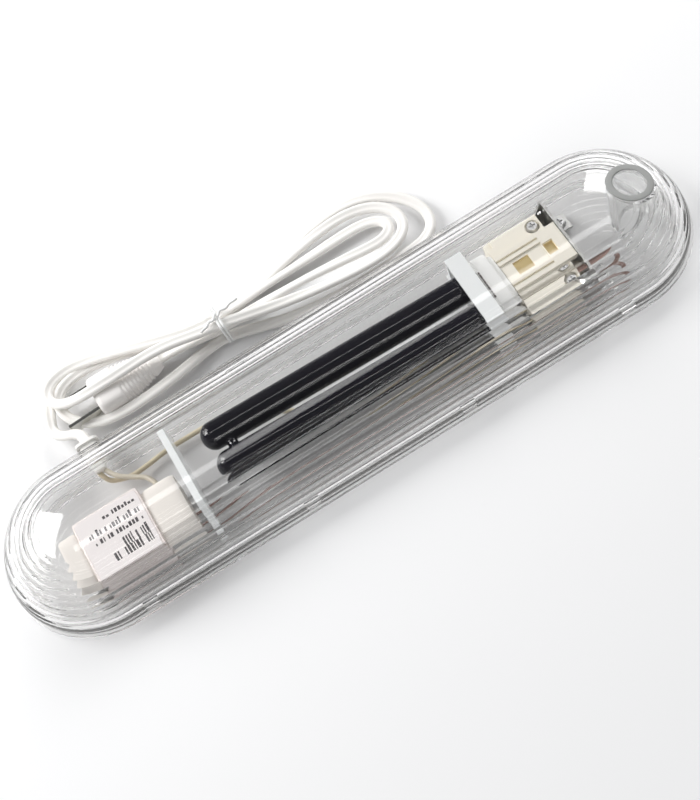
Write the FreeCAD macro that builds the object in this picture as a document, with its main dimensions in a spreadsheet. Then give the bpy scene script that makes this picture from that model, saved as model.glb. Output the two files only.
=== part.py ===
import FreeCAD, Part
import math
import os
import re

import Sketcher
from FreeCAD import Placement, Rotation, Vector

# Self-contained ultraviolet lamp unit: a clear fluted capsule in two halves around a plug-in twin-tube
# lamp, its holder, its ballast and a mains lead folded into a tied hank.
# Millimetres. +X is the end with the hanging hole, -Y the open side, +Z up.
# The origin is the middle of the underside of the housing.

doc = FreeCAD.newDocument("uv_lamp_unit")

# ---------------------------------------------------------------- driving dimensions

SIZES = {
    # housing
    "housing_length": 332.0,
    "flange_width": 81.0,
    "housing_height": 34.0,
    "seam_height": 6.5,
    "flange_thick": 2.0,
    "flange_reach": 1.2,
    "shell_wall": 2.0,
    "floor_thick": 2.2,
    "tray_foot_inset": 4.5,
    "rail_offset": 27.0,
    "rail_thick": 1.5,
    "rail_top": 8.0,
    "lip_gap": 0.35,
    "lip_thick": 1.2,
    "lip_rise": 2.2,
    "rib_bulge": 0.45,
    "rib_first_deg": 4.0,
    "rib_last_deg": 64.0,
    "lug_inner_x": 38.0,
    "lug_end_inset": 9.5,
    "lug_width": 6.0,
    "lug_rise": 2.4,
    "lug_thick": 1.6,
    "part_gap": 0.4,
    # hanging sleeve
    "hang_inset": 22.0,
    "hang_outer_radius": 10.0,
    "hang_bore_radius": 7.0,
    "hang_foot": 1.0,
    "hang_slope_deg": 17.0,
    "hang_top_drop": 2.6,
    "hang_well_wall": 1.6,
    # partition
    "panel_behind_coil": 3.5,
    "panel_thick": 3.0,
    "panel_headroom": 6.0,
    "panel_top_half": 20.0,
    "panel_corner": 3.0,
    "panel_notch_y": 22.5,
    "panel_notch_half": 2.6,
    "panel_notch_top": 8.4,
    "panel_foot": 4.0,
    "panel_hole_y": -18.0,
    "panel_hole_z": 9.0,
    "panel_hole_radius": 1.6,
    # ballast
    "stack_past_end": 3.5,
    "stack_length": 31.5,
    "stack_near_y": -25.2,
    "stack_width": 30.0,
    "stack_top": 22.5,
    "frame_steel": 1.2,
    "coil_left": 8.5,
    "coil_right": 15.5,
    "coil_inset": 1.6,
    "coil_foot": 6.6,
    "coil_round": 1.6,
    "toe_width_left": 11.0,
    "toe_width_right": 10.0,
    "toe_screw_inset": 5.0,
    "label_thick": 0.3,
    "label_inset": 1.0,
    "small_screw_radius": 1.5,
    "small_head_radius": 2.9,
    "small_head_height": 1.9,
    "small_slot_depth": 0.8,
    "small_slot_width": 0.7,
    "screw_play": 0.2,
    # lamp
    "lamp_tip_gap": 11.0,
    "lamp_rise": 10.5,
    "lamp_tilt_deg": 2.5,
    "glass_length": 129.0,
    "glass_radius": 6.25,
    "glass_pitch": 15.5,
    "bridge_radius": 3.0,
    "bridge_back": 11.0,
    "cap_length": 16.0,
    "cap_width": 32.0,
    "cap_thick": 15.5,
    "cap_round": 5.0,
    "cap_step": 2.0,
    "cap_step_side": 2.0,
    "cap_step_top": 1.2,
    "post_length": 20.0,
    "post_width": 13.0,
    "post_thick": 9.0,
    "post_round": 1.5,
    "pin_pitch": 23.0,
    "pin_radius": 1.2,
    "pin_length": 6.5,
    # lamp holder
    "holder_gap": 0.5,
    "holder_length": 26.0,
    "holder_side": 3.6,
    "holder_roof": 2.0,
    "holder_round": 1.5,
    "groove_inner": 6.2,
    "groove_width": 1.2,
    "groove_depth": 1.2,
    "groove_stop": 6.0,
    "ridge_half": 9.5,
    "wing_drop": 2.8,
    "valley_half": 4.6,
    "valley_depth": 0.9,
    "heel_gap": 0.2,
    "step_side": 4.2,
    "step_length": 3.0,
    "step_depth": 1.6,
    "socket_play": 1.1,
    "post_gap": 0.35,
    "window_front_inset": 5.2,
    "window_front_length": 7.6,
    "window_back_inset": 20.2,
    "window_back_length": 4.6,
    "window_half": 3.2,
    "contact_lap": 0.8,
    "contact_thick": 0.5,
    "holder_screw_inset": 22.0,
    "holder_screw_side": 1.6,
    "counterbore_radius": 3.3,
    "counterbore_depth": 1.2,
    # bracket
    "bracket_gap": 4.0,
    "bracket_side": 1.4,
    "bracket_lip": 0.7,
    "bracket_toe": 26.0,
    "bracket_steel": 1.2,
    "ear_length": 8.5,
    "ear_round": 4.0,
    "ear_screw_drop": 4.3,
    "gusset_hole_high_back": 2.6,
    "gusset_hole_high_z": 14.0,
    "gusset_hole_low_back": 5.0,
    "gusset_hole_low_z": 8.0,
    "gusset_hole_radius": 1.0,
    "lead_hole_side": 5.0,
    "lead_hole_drop": 4.0,
    "lead_hole_play": 0.6,
    "ear_screw_back": 4.2,
    "tab_length": 8.0,
    "tab_half": 4.0,
    # lamp rest
    "rest_before_face": 18.0,
    "rest_length": 8.0,
    "rest_wall": 1.9,
    "rest_headroom": 2.95,
    "rest_beam": 1.8,
    "rest_sill_gap": 0.05,
    "rest_play": 0.5,
    "rest_foot": 5.0,
    "rest_gap_y": -11.5,
    "rest_gap_width": 7.0,
    # mains lead
    "cord_width": 5.0,
    "exit_along": 21.0,
    "exit_rise": 3.7,
    "gland_half": 4.2,
    "gland_lip": 2.0,
    "gland_lip_side": 1.2,
    "gland_inner": 16.0,
    "hank_height": 16.0,
    "tie_inset": 0.3,
    "plug_length": 33.0,
    "plug_width": 19.0,
    "plug_thick": 13.7,
    "plug_x": -79.4,
    "plug_lift": 0.2,
    "plug_y": 62.0,
    "plug_turn_deg": 2.0,
    "blade_thick": 1.5,
    "blade_width": 6.3,
    "blade_length": 16.0,
    "blade_pitch": 12.7,
    "lead_radius": 1.1,
}

RIB_COUNT = 11

# Places that follow from the sizes, each piece measured from the one that it stands against.
PLACES = {
    "end_x": "(housing_length - flange_width) / 2",
    "wall_radius": "flange_width / 2 - flange_reach",
    "lug_outer_x": "end_x - lug_end_inset",
    "hang_x": "housing_length / 2 - hang_inset",
    "hang_top": "housing_height - hang_top_drop",
    "stack_x": "-end_x - stack_past_end",
    "panel_x": "stack_x + stack_length + coil_right + panel_behind_coil",
    "panel_top": "housing_height - shell_wall - panel_headroom",
    "lamp_height": "floor_thick + lamp_rise",
    "face_x": "panel_x + panel_thick + lamp_tip_gap + glass_length + cap_length",
    "rest_x": "face_x - rest_before_face",
    "rest_half": "cap_width / 2 + rest_play + rest_wall",
    "rest_top": "lamp_height + cap_thick / 2 + rest_headroom",
    "rest_sill": "lamp_height - cap_thick / 2 + rest_sill_gap",
    "holder_x": "face_x + holder_gap",
    "holder_half": "cap_width / 2 + holder_side",
    "holder_foot": "floor_thick + bracket_steel",
    "holder_top": "socket_ceiling + holder_roof",
    "wing_top": "holder_top - wing_drop",
    "holder_seat": "wing_top - counterbore_depth",
    "holder_screw_y": "cap_width / 2 - holder_screw_side",
    "holder_screw_x": "holder_x + holder_screw_inset",
    "socket_ceiling": "lamp_height + post_thick / 2 + post_gap",
    "bracket_half": "holder_half + bracket_side",
    "bracket_top": "holder_top + bracket_lip",
    "ear_screw_z": "bracket_top - ear_screw_drop",
    "tab_y": "cap_width / 2",
    "bracket_x": "holder_x + holder_length + bracket_gap + bracket_steel",
    "exit_x": "stack_x + exit_along",
    "exit_z": "seam_height + exit_rise",
    "gland_low": "exit_z - gland_half + 0.8",
    "gland_high": "exit_z + gland_half - 0.4",
}

sheet = doc.addObject("Spreadsheet::Sheet", "Sizes")
for row, (alias, value) in enumerate(SIZES.items(), start=1):
    sheet.set(f"A{row}", alias)
    sheet.set(f"B{row}", str(value))
    sheet.setAlias(f"B{row}", alias)
doc.recompute()

NODES = {}


def size(alias):
    """The value that the sheet holds under this alias."""
    return float(getattr(sheet, alias))


def linked(text):
    """An expression with each place written out and each size's alias pointing at the sheet."""

    def spelled(match):
        word = match[0]
        if word in PLACES:
            return f"({linked(PLACES[word])})"
        return f"Sizes.{word}" if word in SIZES else word

    return re.sub(r"[a-z_]+", spelled, str(text))


def value(text):
    """The present value of a sum of sizes, worked out by the document itself."""
    probe = doc.getObject("Probe") or doc.addObject("App::FeaturePython", "Probe")
    if "Result" not in probe.PropertiesList:
        probe.addProperty("App::PropertyFloat", "Result")
    probe.setExpression("Result", linked(text))
    probe.recompute()
    return probe.Result


def place(obj, x="0", y="0", z="0", turn=None):
    """Puts the object at x, y, z, each a sum of sizes, turned by a fixed rotation."""
    if turn is not None:
        obj.Placement = Placement(Vector(), turn)
    for axis, text in zip("xyz", (x, y, z)):
        obj.setExpression(f"Placement.Base.{axis}", linked(text))
    return obj


def node(obj, label):
    """Names the object as a sub-part of its own."""
    obj.Label = label
    NODES[label] = obj
    return obj


# ---------------------------------------------------------------- building blocks


def box(name, x, y, z, length, width, height):
    obj = doc.addObject("Part::Box", name)
    for side, text in zip(("Length", "Width", "Height"), (length, width, height)):
        obj.setExpression(side, linked(text))
    return place(obj, x, y, z)


ALONG = {
    "x": Rotation(Vector(0, 1, 0), 90),
    "-x": Rotation(Vector(0, 1, 0), -90),
    "y": Rotation(Vector(1, 0, 0), -90),
    "-y": Rotation(Vector(1, 0, 0), 90),
    "z": Rotation(),
}


def rod(name, x, y, z, radius, length, along="z"):
    obj = doc.addObject("Part::Cylinder", name)
    obj.setExpression("Radius", linked(radius))
    obj.setExpression("Height", linked(length))
    return place(obj, x, y, z, ALONG[along])


def taper(name, x, y, z, first, last, length, along="z"):
    obj = doc.addObject("Part::Cone", name)
    obj.setExpression("Radius1", linked(first))
    obj.setExpression("Radius2", linked(last))
    obj.setExpression("Height", linked(length))
    return place(obj, x, y, z, ALONG[along])


def ball(name, x, y, z, radius):
    obj = doc.addObject("Part::Sphere", name)
    obj.setExpression("Radius", linked(radius))
    return place(obj, x, y, z)


def fuse(name, *shapes):
    obj = doc.addObject("Part::MultiFuse", name)
    obj.Shapes = list(shapes)
    return obj


def cut(name, base, *tools):
    obj = doc.addObject("Part::Cut", name)
    obj.Base = base
    obj.Tool = tools[0] if len(tools) == 1 else fuse(name + "_tools", *tools)
    return obj


def rounded(name, base, radius, chosen):
    """Fillets those edges of the base that the test chooses."""
    doc.recompute()
    obj = doc.addObject("Part::Fillet", name)
    obj.Base = base
    edges = [n for n, edge in enumerate(base.Shape.Edges, start=1) if chosen(edge)]
    obj.Edges = [(n, radius, radius) for n in edges]
    return obj


def runs_along(edge, axis):
    """True for a straight edge parallel to this axis."""
    if edge.Curve.TypeId != "Part::GeomLine":
        return False
    return abs(edge.Curve.Direction.dot(axis)) > 0.999


X_AXIS, Y_AXIS = Vector(1, 0, 0), Vector(0, 1, 0)


def feature(name, shape):
    obj = doc.addObject("Part::Feature", name)
    obj.Shape = shape
    return obj


def origin_plane(body, role):
    return next(f for f in body.Origin.OriginFeatures if f.Role == role)


def outline(body, role, corners):
    """A closed sketch whose every corner is tied to the origin by two dimensions read from the sheet."""
    sketch = body.newObject("Sketcher::SketchObject", body.Name + "_outline")
    sketch.AttachmentSupport = [(origin_plane(body, role), "")]
    sketch.MapMode = "FlatFace"
    points = [Vector(value(u), value(v), 0) for u, v in corners]
    count = len(points)
    for n in range(count):
        sketch.addGeometry(Part.LineSegment(points[n], points[(n + 1) % count]), False)
    for n in range(count):
        sketch.addConstraint(Sketcher.Constraint("Coincident", n, 2, (n + 1) % count, 1))
    for n, (u, v) in enumerate(corners):
        for kind, text, now in (("DistanceX", u, points[n].x), ("DistanceY", v, points[n].y)):
            mark = sketch.addConstraint(Sketcher.Constraint(kind, -1, 1, n, 1, now))
            sketch.setExpression(f"Constraints[{mark}]", linked(text))
    return sketch


def padded(name, role, corners, length, middle=False):
    """A PartDesign body: one dimensioned outline, padded by a size."""
    body = doc.addObject("PartDesign::Body", name)
    sketch = outline(body, role, corners)
    pad = body.newObject("PartDesign::Pad", name + "_pad")
    pad.Profile = sketch
    pad.setExpression("Length", linked(length))
    if middle:
        pad.Midplane = True
    body.Tip = pad
    return body


def dressed(body, radius, chosen):
    """Rounds those edges of the body's tip that the test chooses, by a size."""
    doc.recompute()
    tip = body.Tip
    names = [f"Edge{n}" for n, edge in enumerate(tip.Shape.Edges, start=1) if chosen(edge)]
    obj = body.newObject("PartDesign::Fillet", body.Name + "_round")
    obj.Base = (tip, names)
    obj.setExpression("Radius", linked(radius))
    body.Tip = obj
    return body


# ---------------------------------------------------------------- capsule halves

COVER_R = value("wall_radius")
COVER_RISE = size("housing_height") - size("seam_height")


def oval_point(radius, rise, degrees):
    angle = math.radians(degrees)
    return Vector(0, radius * math.cos(angle), size("seam_height") + rise * math.sin(angle))


def cover_profile():
    """Half of the cover's section: scalloped ribs up the side, a smooth crown, an even wall."""
    first, last = size("rib_first_deg"), size("rib_last_deg")
    step = (last - first) / RIB_COUNT
    marks = [oval_point(COVER_R, COVER_RISE, first + n * step) for n in range(RIB_COUNT + 1)]
    edges = [Part.LineSegment(oval_point(COVER_R, COVER_RISE, 0), marks[0]).toShape()]
    for low, high in zip(marks, marks[1:]):
        out = Vector(0, high.z - low.z, low.y - high.y).normalize()
        crest = (low + high) * 0.5 + out * size("rib_bulge")
        edges.append(Part.Arc(low, crest, high).toShape())
    crown = [oval_point(COVER_R, COVER_RISE, last + (90 - last) * n / 2) for n in range(3)]
    edges.append(Part.Arc(*crown).toShape())
    wall = size("shell_wall")
    inside = [oval_point(COVER_R - wall, COVER_RISE - wall, 90 * n / 8) for n in range(9)]
    curve = Part.BSplineCurve()
    curve.interpolate(inside, InitialTangent=Vector(0, 0, 1), FinalTangent=Vector(0, -1, 0))
    edges.append(Part.LineSegment(crown[-1], inside[-1]).toShape())
    edges.append(curve.toShape())
    edges.append(Part.LineSegment(inside[0], oval_point(COVER_R, COVER_RISE, 0)).toShape())
    return Part.Wire(Part.__sortEdges__(edges))


def tray_profile():
    """Half of the tray's section: floor, curb, wall, flange and the lip that locates the cover."""
    flange = size("flange_width") / 2
    seam, floor = size("seam_height"), size("floor_thick")
    lip_out = COVER_R - size("shell_wall") - size("lip_gap")
    lip_in = lip_out - size("lip_thick")
    rail_in, rail_out = size("rail_offset"), size("rail_offset") + size("rail_thick")
    under = seam - size("flange_thick")
    points = [
        (0, 0),
        (COVER_R - size("tray_foot_inset"), 0),
        (COVER_R - 1, under - 1),
        (COVER_R - 1, under),
        (flange, under),
        (flange, seam),
        (lip_out, seam),
        (lip_out, seam + size("lip_rise")),
        (lip_in, seam + size("lip_rise")),
        (lip_in, floor),
        (rail_out, floor),
        (rail_out, size("rail_top")),
        (rail_in, size("rail_top")),
        (rail_in, floor),
        (0, floor),
    ]
    corners = [Vector(0, y, z) for y, z in points]
    return Part.makePolygon(corners + corners[:1])


def capsule(name, wire):
    """Runs a half section along both long sides and round both ends."""
    profile = feature(name + "_section", Part.Face(wire))
    pieces = []
    for side in (1, -1):
        run = doc.addObject("Part::Extrusion", f"{name}_run{len(pieces)}")
        run.Base = profile
        run.DirMode = "Custom"
        run.Dir = Vector(1, 0, 0)
        run.setExpression("LengthFwd", linked("end_x"))
        run.setExpression("LengthRev", linked("end_x"))
        run.Solid = True
        if side < 0:
            flip = doc.addObject("Part::Mirroring", name + "_mirror")
            flip.Source = run
            flip.Normal = Vector(0, 1, 0)
            run = flip
        pieces.append(run)
    for side in (1, -1):
        turn = doc.addObject("Part::Revolution", f"{name}_end{len(pieces)}")
        turn.Source = profile
        turn.Axis = Vector(0, 0, 1)
        turn.Angle = -180 if side > 0 else 180
        turn.Solid = True
        place(turn, f"{side} * end_x")
        pieces.append(turn)
    whole = fuse(name + "_whole", *pieces)
    whole.Refine = True
    return whole


def lug_blocks(name, play, reach):
    """The little catches along both long sides, or the notches that pass over them."""
    blocks = []
    for side in (1, -1):
        for spot in ("lug_inner_x", "-lug_inner_x", "lug_outer_x", "-(lug_outer_x)"):
            blocks.append(
                box(
                    f"{name}{len(blocks)}",
                    f"{spot} - lug_width / 2 - {play}",
                    f"{side} * (wall_radius - lug_thick / 2) - lug_thick / 2 - {reach}",
                    f"seam_height - {play}",
                    f"lug_width + 2 * {play}",
                    f"lug_thick + 2 * {reach}",
                    f"lug_rise + 2 * {play}",
                )
            )
    return blocks


def build_tray():
    base = capsule("tray", tray_profile())
    well = rod("tray_well", "hang_x", "0", "floor_thick", "hang_outer_radius + hang_well_wall", "rail_top")
    hole = rod("tray_hole", "hang_x", "0", "-1", "hang_outer_radius + part_gap", "floor_thick + 2")
    saddle = box("tray_saddle", "exit_x - gland_half - part_gap", "rail_offset - 1", "gland_low - part_gap",
                 "2 * (gland_half + part_gap)", "flange_width", "gland_half * 4")
    hollow = cut("tray_hollow", base, well, hole, saddle)
    node(fuse("tray_shell", hollow, *lug_blocks("tray_lug", "0", "0")), "tray_shell")


def build_cover():
    base = capsule("cover", cover_profile())
    hole = rod("cover_hole", "hang_x", "0", "0", "hang_outer_radius", "housing_height * 2")
    mouth = box("cover_mouth", "exit_x - gland_half - part_gap", "rail_offset",
                "seam_height - 1", "2 * (gland_half + part_gap)", "flange_width",
                "gland_high + part_gap - seam_height + 1")
    notches = lug_blocks("cover_notch", "part_gap", "2 * part_gap")
    node(cut("cover_shell", base, hole, mouth, *notches), "cover_shell")


def build_hanging_sleeve():
    outer = rod("sleeve_outer", "hang_x", "0", "hang_foot", "hang_outer_radius", "housing_height * 2")
    bore = rod("sleeve_bore", "hang_x", "0", "-1", "hang_bore_radius", "housing_height * 3")
    trim = box("sleeve_trim", "hang_x", "-2 * hang_outer_radius", "hang_top",
               "6 * hang_outer_radius", "4 * hang_outer_radius", "housing_height * 3")
    slope = Rotation(Vector(0, 1, 0), size("hang_slope_deg"))
    shift = slope.multVec(Vector(-3 * size("hang_outer_radius"), 0, 0))
    trim.Placement.Rotation = slope
    place(trim, f"hang_x + {shift.x}", "-2 * hang_outer_radius", f"hang_top + {shift.z}")
    node(cut("hanging_sleeve", outer, bore, trim), "hanging_sleeve")


# ---------------------------------------------------------------- partition and ballast


def build_partition():
    half = "(rail_offset - part_gap / 2)"
    corners = [
        (f"-{half}", "floor_thick"),
        ("panel_notch_y - panel_notch_half", "floor_thick"),
        ("panel_notch_y - panel_notch_half", "panel_notch_top"),
        ("panel_notch_y + panel_notch_half", "panel_notch_top"),
        ("panel_notch_y + panel_notch_half", "floor_thick"),
        (half, "floor_thick"),
        (half, "rail_top"),
        ("panel_top_half", "panel_top"),
        ("-panel_top_half", "panel_top"),
        (f"-{half}", "rail_top"),
        (f"-{half}", "floor_thick + panel_foot"),
    ]
    body = padded("partition", "YZ_Plane", corners, "panel_thick")
    top = value("panel_top")
    dressed(body, "panel_corner", lambda e: runs_along(e, X_AXIS) and e.CenterOfMass.z > top - 0.1)
    place(body, "panel_x")
    hole = rod("partition_hole", "panel_x - 1", "panel_hole_y", "panel_hole_z", "panel_hole_radius",
               "panel_thick + 2", "x")
    node(cut("partition_panel", body, hole), "partition_panel")


def build_ballast():
    # laminated core standing in a folded steel strip
    strip = "floor_thick + frame_steel"
    core = padded(
        "ballast_stack",
        "YZ_Plane",
        [
            ("stack_near_y", strip),
            ("stack_near_y + stack_width", strip),
            ("stack_near_y + stack_width", "stack_top"),
            ("stack_near_y", "stack_top"),
        ],
        "stack_length",
    )
    place(core, "stack_x")
    node(core, "ballast_core")
    # coil wrapping that shows at each end of the core
    for label, start, length in (
        ("ballast_coil_left", "stack_x - coil_left", "coil_left"),
        ("ballast_coil_right", "stack_x + stack_length", "coil_right"),
    ):
        end = padded(
            label,
            "YZ_Plane",
            [
                ("stack_near_y + coil_inset", "coil_foot"),
                ("stack_near_y + stack_width - coil_inset", "coil_foot"),
                ("stack_near_y + stack_width - coil_inset", "stack_top - coil_inset / 2"),
                ("stack_near_y + coil_inset", "stack_top - coil_inset / 2"),
            ],
            length,
        )
        dressed(end, "coil_round", lambda e: runs_along(e, X_AXIS))
        place(end, start)
        node(end, label)
    # rating plate on top, left blank
    plate = box("plate", "stack_x + label_inset", "stack_near_y + label_inset", "stack_top",
                "stack_length - 2 * label_inset", "stack_width - 2 * label_inset", "label_thick")
    node(plate, "ballast_plate")
    # strip with a toe at each end, each held by a screw into the floor
    base = box("strip_base", "stack_x - coil_left", "stack_near_y + coil_inset", "floor_thick",
               "coil_left + stack_length + coil_right * 0.7", "stack_width - 2 * coil_inset", "frame_steel")
    trim_left = box("strip_trim_left", "stack_x - coil_left - 1", "stack_near_y + toe_width_left", "0",
                    "coil_left + 1", "stack_width", "10")
    trim_right = box("strip_trim_right", "stack_x + stack_length", "stack_near_y - 1", "0",
                     "coil_right + 1", "stack_width - toe_width_right", "10")
    hole_left = rod("strip_hole_left", *LEFT_FOOT, "0", "small_screw_radius + screw_play", "9")
    hole_right = rod("strip_hole_right", *RIGHT_FOOT, "0", "small_screw_radius + screw_play", "9")
    node(cut("ballast_strip", base, trim_left, trim_right, hole_left, hole_right), "ballast_strip")
    for label, spot in (("ballast_screw_left", LEFT_FOOT), ("ballast_screw_right", RIGHT_FOOT)):
        screw(label, *spot, "floor_thick + frame_steel", "frame_steel")


LEFT_FOOT = ("stack_x - coil_left / 2", "stack_near_y + toe_screw_inset")
RIGHT_FOOT = ("stack_x + stack_length + coil_right * 0.35", "stack_near_y + stack_width - toe_screw_inset")


def screw(label, x, y, z, depth, along="z"):
    """A pan-head screw: head upwards from the point, shank back through the sheet, cross slot."""
    back = {"z": ("0", "0", "-1"), "-y": ("0", "1", "0")}[along]
    start = [f"{c} + ({b}) * ({depth})" for c, b in zip((x, y, z), back)]
    shank = rod(label + "_shank", *start, "small_screw_radius", depth, along)
    head = taper(label + "_head", x, y, z, "small_head_radius", "small_head_radius * 0.72",
                 "small_head_height", along)
    whole = fuse(label + "_blank", shank, head)
    slots = []
    across = "small_head_radius * 1.1"
    for n, (wide, deep) in enumerate((("small_slot_width", across), (across, "small_slot_width"))):
        if along == "z":
            slots.append(box(f"{label}_slot{n}", f"{x} - {wide} / 2", f"{y} - {deep} / 2",
                             f"{z} + small_head_height - small_slot_depth", wide, deep, "2"))
        else:
            slots.append(box(f"{label}_slot{n}", f"{x} - {wide} / 2", f"{y} - small_head_height - 1",
                             f"{z} - {deep} / 2", wide, "1 + small_slot_depth", deep))
    node(cut(label, whole, *slots), label)


# ---------------------------------------------------------------- lamp


TILT = Rotation(Vector(0, 1, 0), size("lamp_tilt_deg"))


def lamp_node(label, shape):
    """Leans a lamp piece, built along -X from the cap's rear face, tip upwards about that face."""
    shape.Placement = Placement(Vector(), TILT)
    place(shape, "face_x", "0", "lamp_height")
    node(shape, label)


def build_lamp():
    start = "-cap_length - glass_length"
    for label, side in (("lamp_tube_far", "1"), ("lamp_tube_near", "-1")):
        y = f"{side} * glass_pitch / 2"
        barrel = rod(label + "_barrel", f"{start} + glass_radius", y, "0", "glass_radius",
                     "glass_length - glass_radius", "x")
        tip = ball(label + "_tip", f"{start} + glass_radius", y, "0", "glass_radius")
        lamp_node(label, fuse(label + "_glass", barrel, tip))
    bridge = rod("bridge_bar", f"{start} + bridge_back", "-glass_pitch / 2 + glass_radius - 1.2", "0",
                 "bridge_radius", "glass_pitch - 2 * glass_radius + 2.4", "y")
    waists = []
    for n, side in enumerate(("1", "-1")):
        waists.append(rod(f"bridge_waist{n}", f"{start} + glass_radius", f"{side} * glass_pitch / 2", "0",
                          "glass_radius", "glass_length - glass_radius", "x"))
    lamp_node("lamp_bridge", cut("bridge_link", bridge, *waists))
    # moulded cap with a narrower rear step
    front = box("cap_front", "-cap_length", "-cap_width / 2", "-cap_thick / 2",
                "cap_length - cap_step", "cap_width", "cap_thick")
    soft = rounded("cap_soft", front, size("cap_round"), lambda e: runs_along(e, X_AXIS))
    rear = box("cap_rear", "-cap_step", "-cap_width / 2 + cap_step_side", "-cap_thick / 2 + cap_step_top",
               "cap_step", "cap_width - 2 * cap_step_side", "cap_thick - 2 * cap_step_top")
    lamp_node("lamp_cap", fuse("cap_blank", soft, rear))
    post = box("post_block", "0", "-post_width / 2", "-post_thick / 2",
               "post_length", "post_width", "post_thick")
    lamp_node("lamp_post", rounded("post_soft", post, size("post_round"), lambda e: runs_along(e, X_AXIS)))
    for label, side in (("lamp_pin_far", "1"), ("lamp_pin_near", "-1")):
        y = f"{side} * pin_pitch / 2"
        shank = rod(label + "_shank", "0", y, "0", "pin_radius", "pin_length - pin_radius", "x")
        nose = ball(label + "_nose", "pin_length - pin_radius", y, "0", "pin_radius")
        lamp_node(label, fuse(label + "_blank", shank, nose))


# ---------------------------------------------------------------- lamp holder and bracket


def build_holder():
    start = "holder_x"
    height = "holder_top - holder_foot"
    middle = box("holder_ridges", start, "-ridge_half", "holder_foot",
                 "holder_length + bracket_gap - heel_gap", "2 * ridge_half", height)
    block = box("holder_block", start, "-holder_half", "holder_foot", "holder_length",
                "2 * holder_half", "wing_top - holder_foot")
    soft = rounded("holder_soft", block, size("holder_round"),
                   lambda e: runs_along(e, X_AXIS) and e.CenterOfMass.z > value("lamp_height"))
    valley = box("holder_valley", f"{start} - 1", "-valley_half", "holder_top - valley_depth",
                 "holder_length - groove_stop + 1", "2 * valley_half", "valley_depth + 1")
    socket = box("holder_socket", f"{start} - 1", "-post_width / 2 - socket_play",
                 "lamp_height - post_thick / 2 - 2 * socket_play", "post_length + 3",
                 "post_width + 2 * socket_play", "post_thick + 2 * socket_play + post_gap")
    windows = []
    for end in ("front", "back"):
        windows.append(box(f"holder_window_{end}", f"holder_x + window_{end}_inset", "-window_half",
                           "lamp_height", f"window_{end}_length", "2 * window_half", "20"))
    grooves = []
    for side in ("1", "-1"):
        centre = f"{side} * (groove_inner + groove_width / 2)"
        grooves.append(box(f"holder_groove{len(grooves)}", f"{start} - 1", f"{centre} - groove_width / 2",
                           "holder_top - groove_depth", "holder_length - groove_stop + 1",
                           "groove_width", "groove_depth + 1"))
    # step in the far wing's front corner
    step = box("holder_step", f"{start} - 1", "holder_half - step_side", "wing_top - step_depth",
               "step_length + 1", "step_side + 1", "step_depth + 1")
    bores = []
    pockets = []
    for side in ("1", "-1"):
        y = f"{side} * pin_pitch / 2"
        mouth = rod(f"holder_mouth{side}", f"{start} - 1", y, "lamp_height", "pin_radius + socket_play",
                    "pin_length + 3", "x")
        pockets.append(mouth)
        bores.append(rod(f"holder_bore{side}", "holder_screw_x", f"{side} * holder_screw_y", "0",
                         "small_screw_radius + screw_play", "40"))
        bores.append(rod(f"holder_sink{side}", "holder_screw_x", f"{side} * holder_screw_y",
                         "holder_seat", "counterbore_radius", "40"))
    # flat brass contacts let into the socket's ceiling, seen through the windows
    contacts = []
    for end in ("front", "back"):
        bar = box(f"holder_contact_{end}", f"holder_x + window_{end}_inset - contact_lap",
                  "-window_half - contact_lap", "socket_ceiling",
                  f"window_{end}_length + 2 * contact_lap", "2 * (window_half + contact_lap)",
                  "contact_thick")
        contacts.append(node(bar, f"holder_contact_{end}"))
    blank = fuse("holder_blank", soft, middle)
    node(cut("holder_body", blank, socket, step, valley, *windows, *grooves, *pockets, *bores, *contacts),
         "holder_body")
    for side, label in (("1", "holder_screw_far"), ("-1", "holder_screw_near")):
        screw(label, "holder_screw_x", f"{side} * holder_screw_y", "holder_seat",
              "holder_seat - floor_thick")


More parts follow.
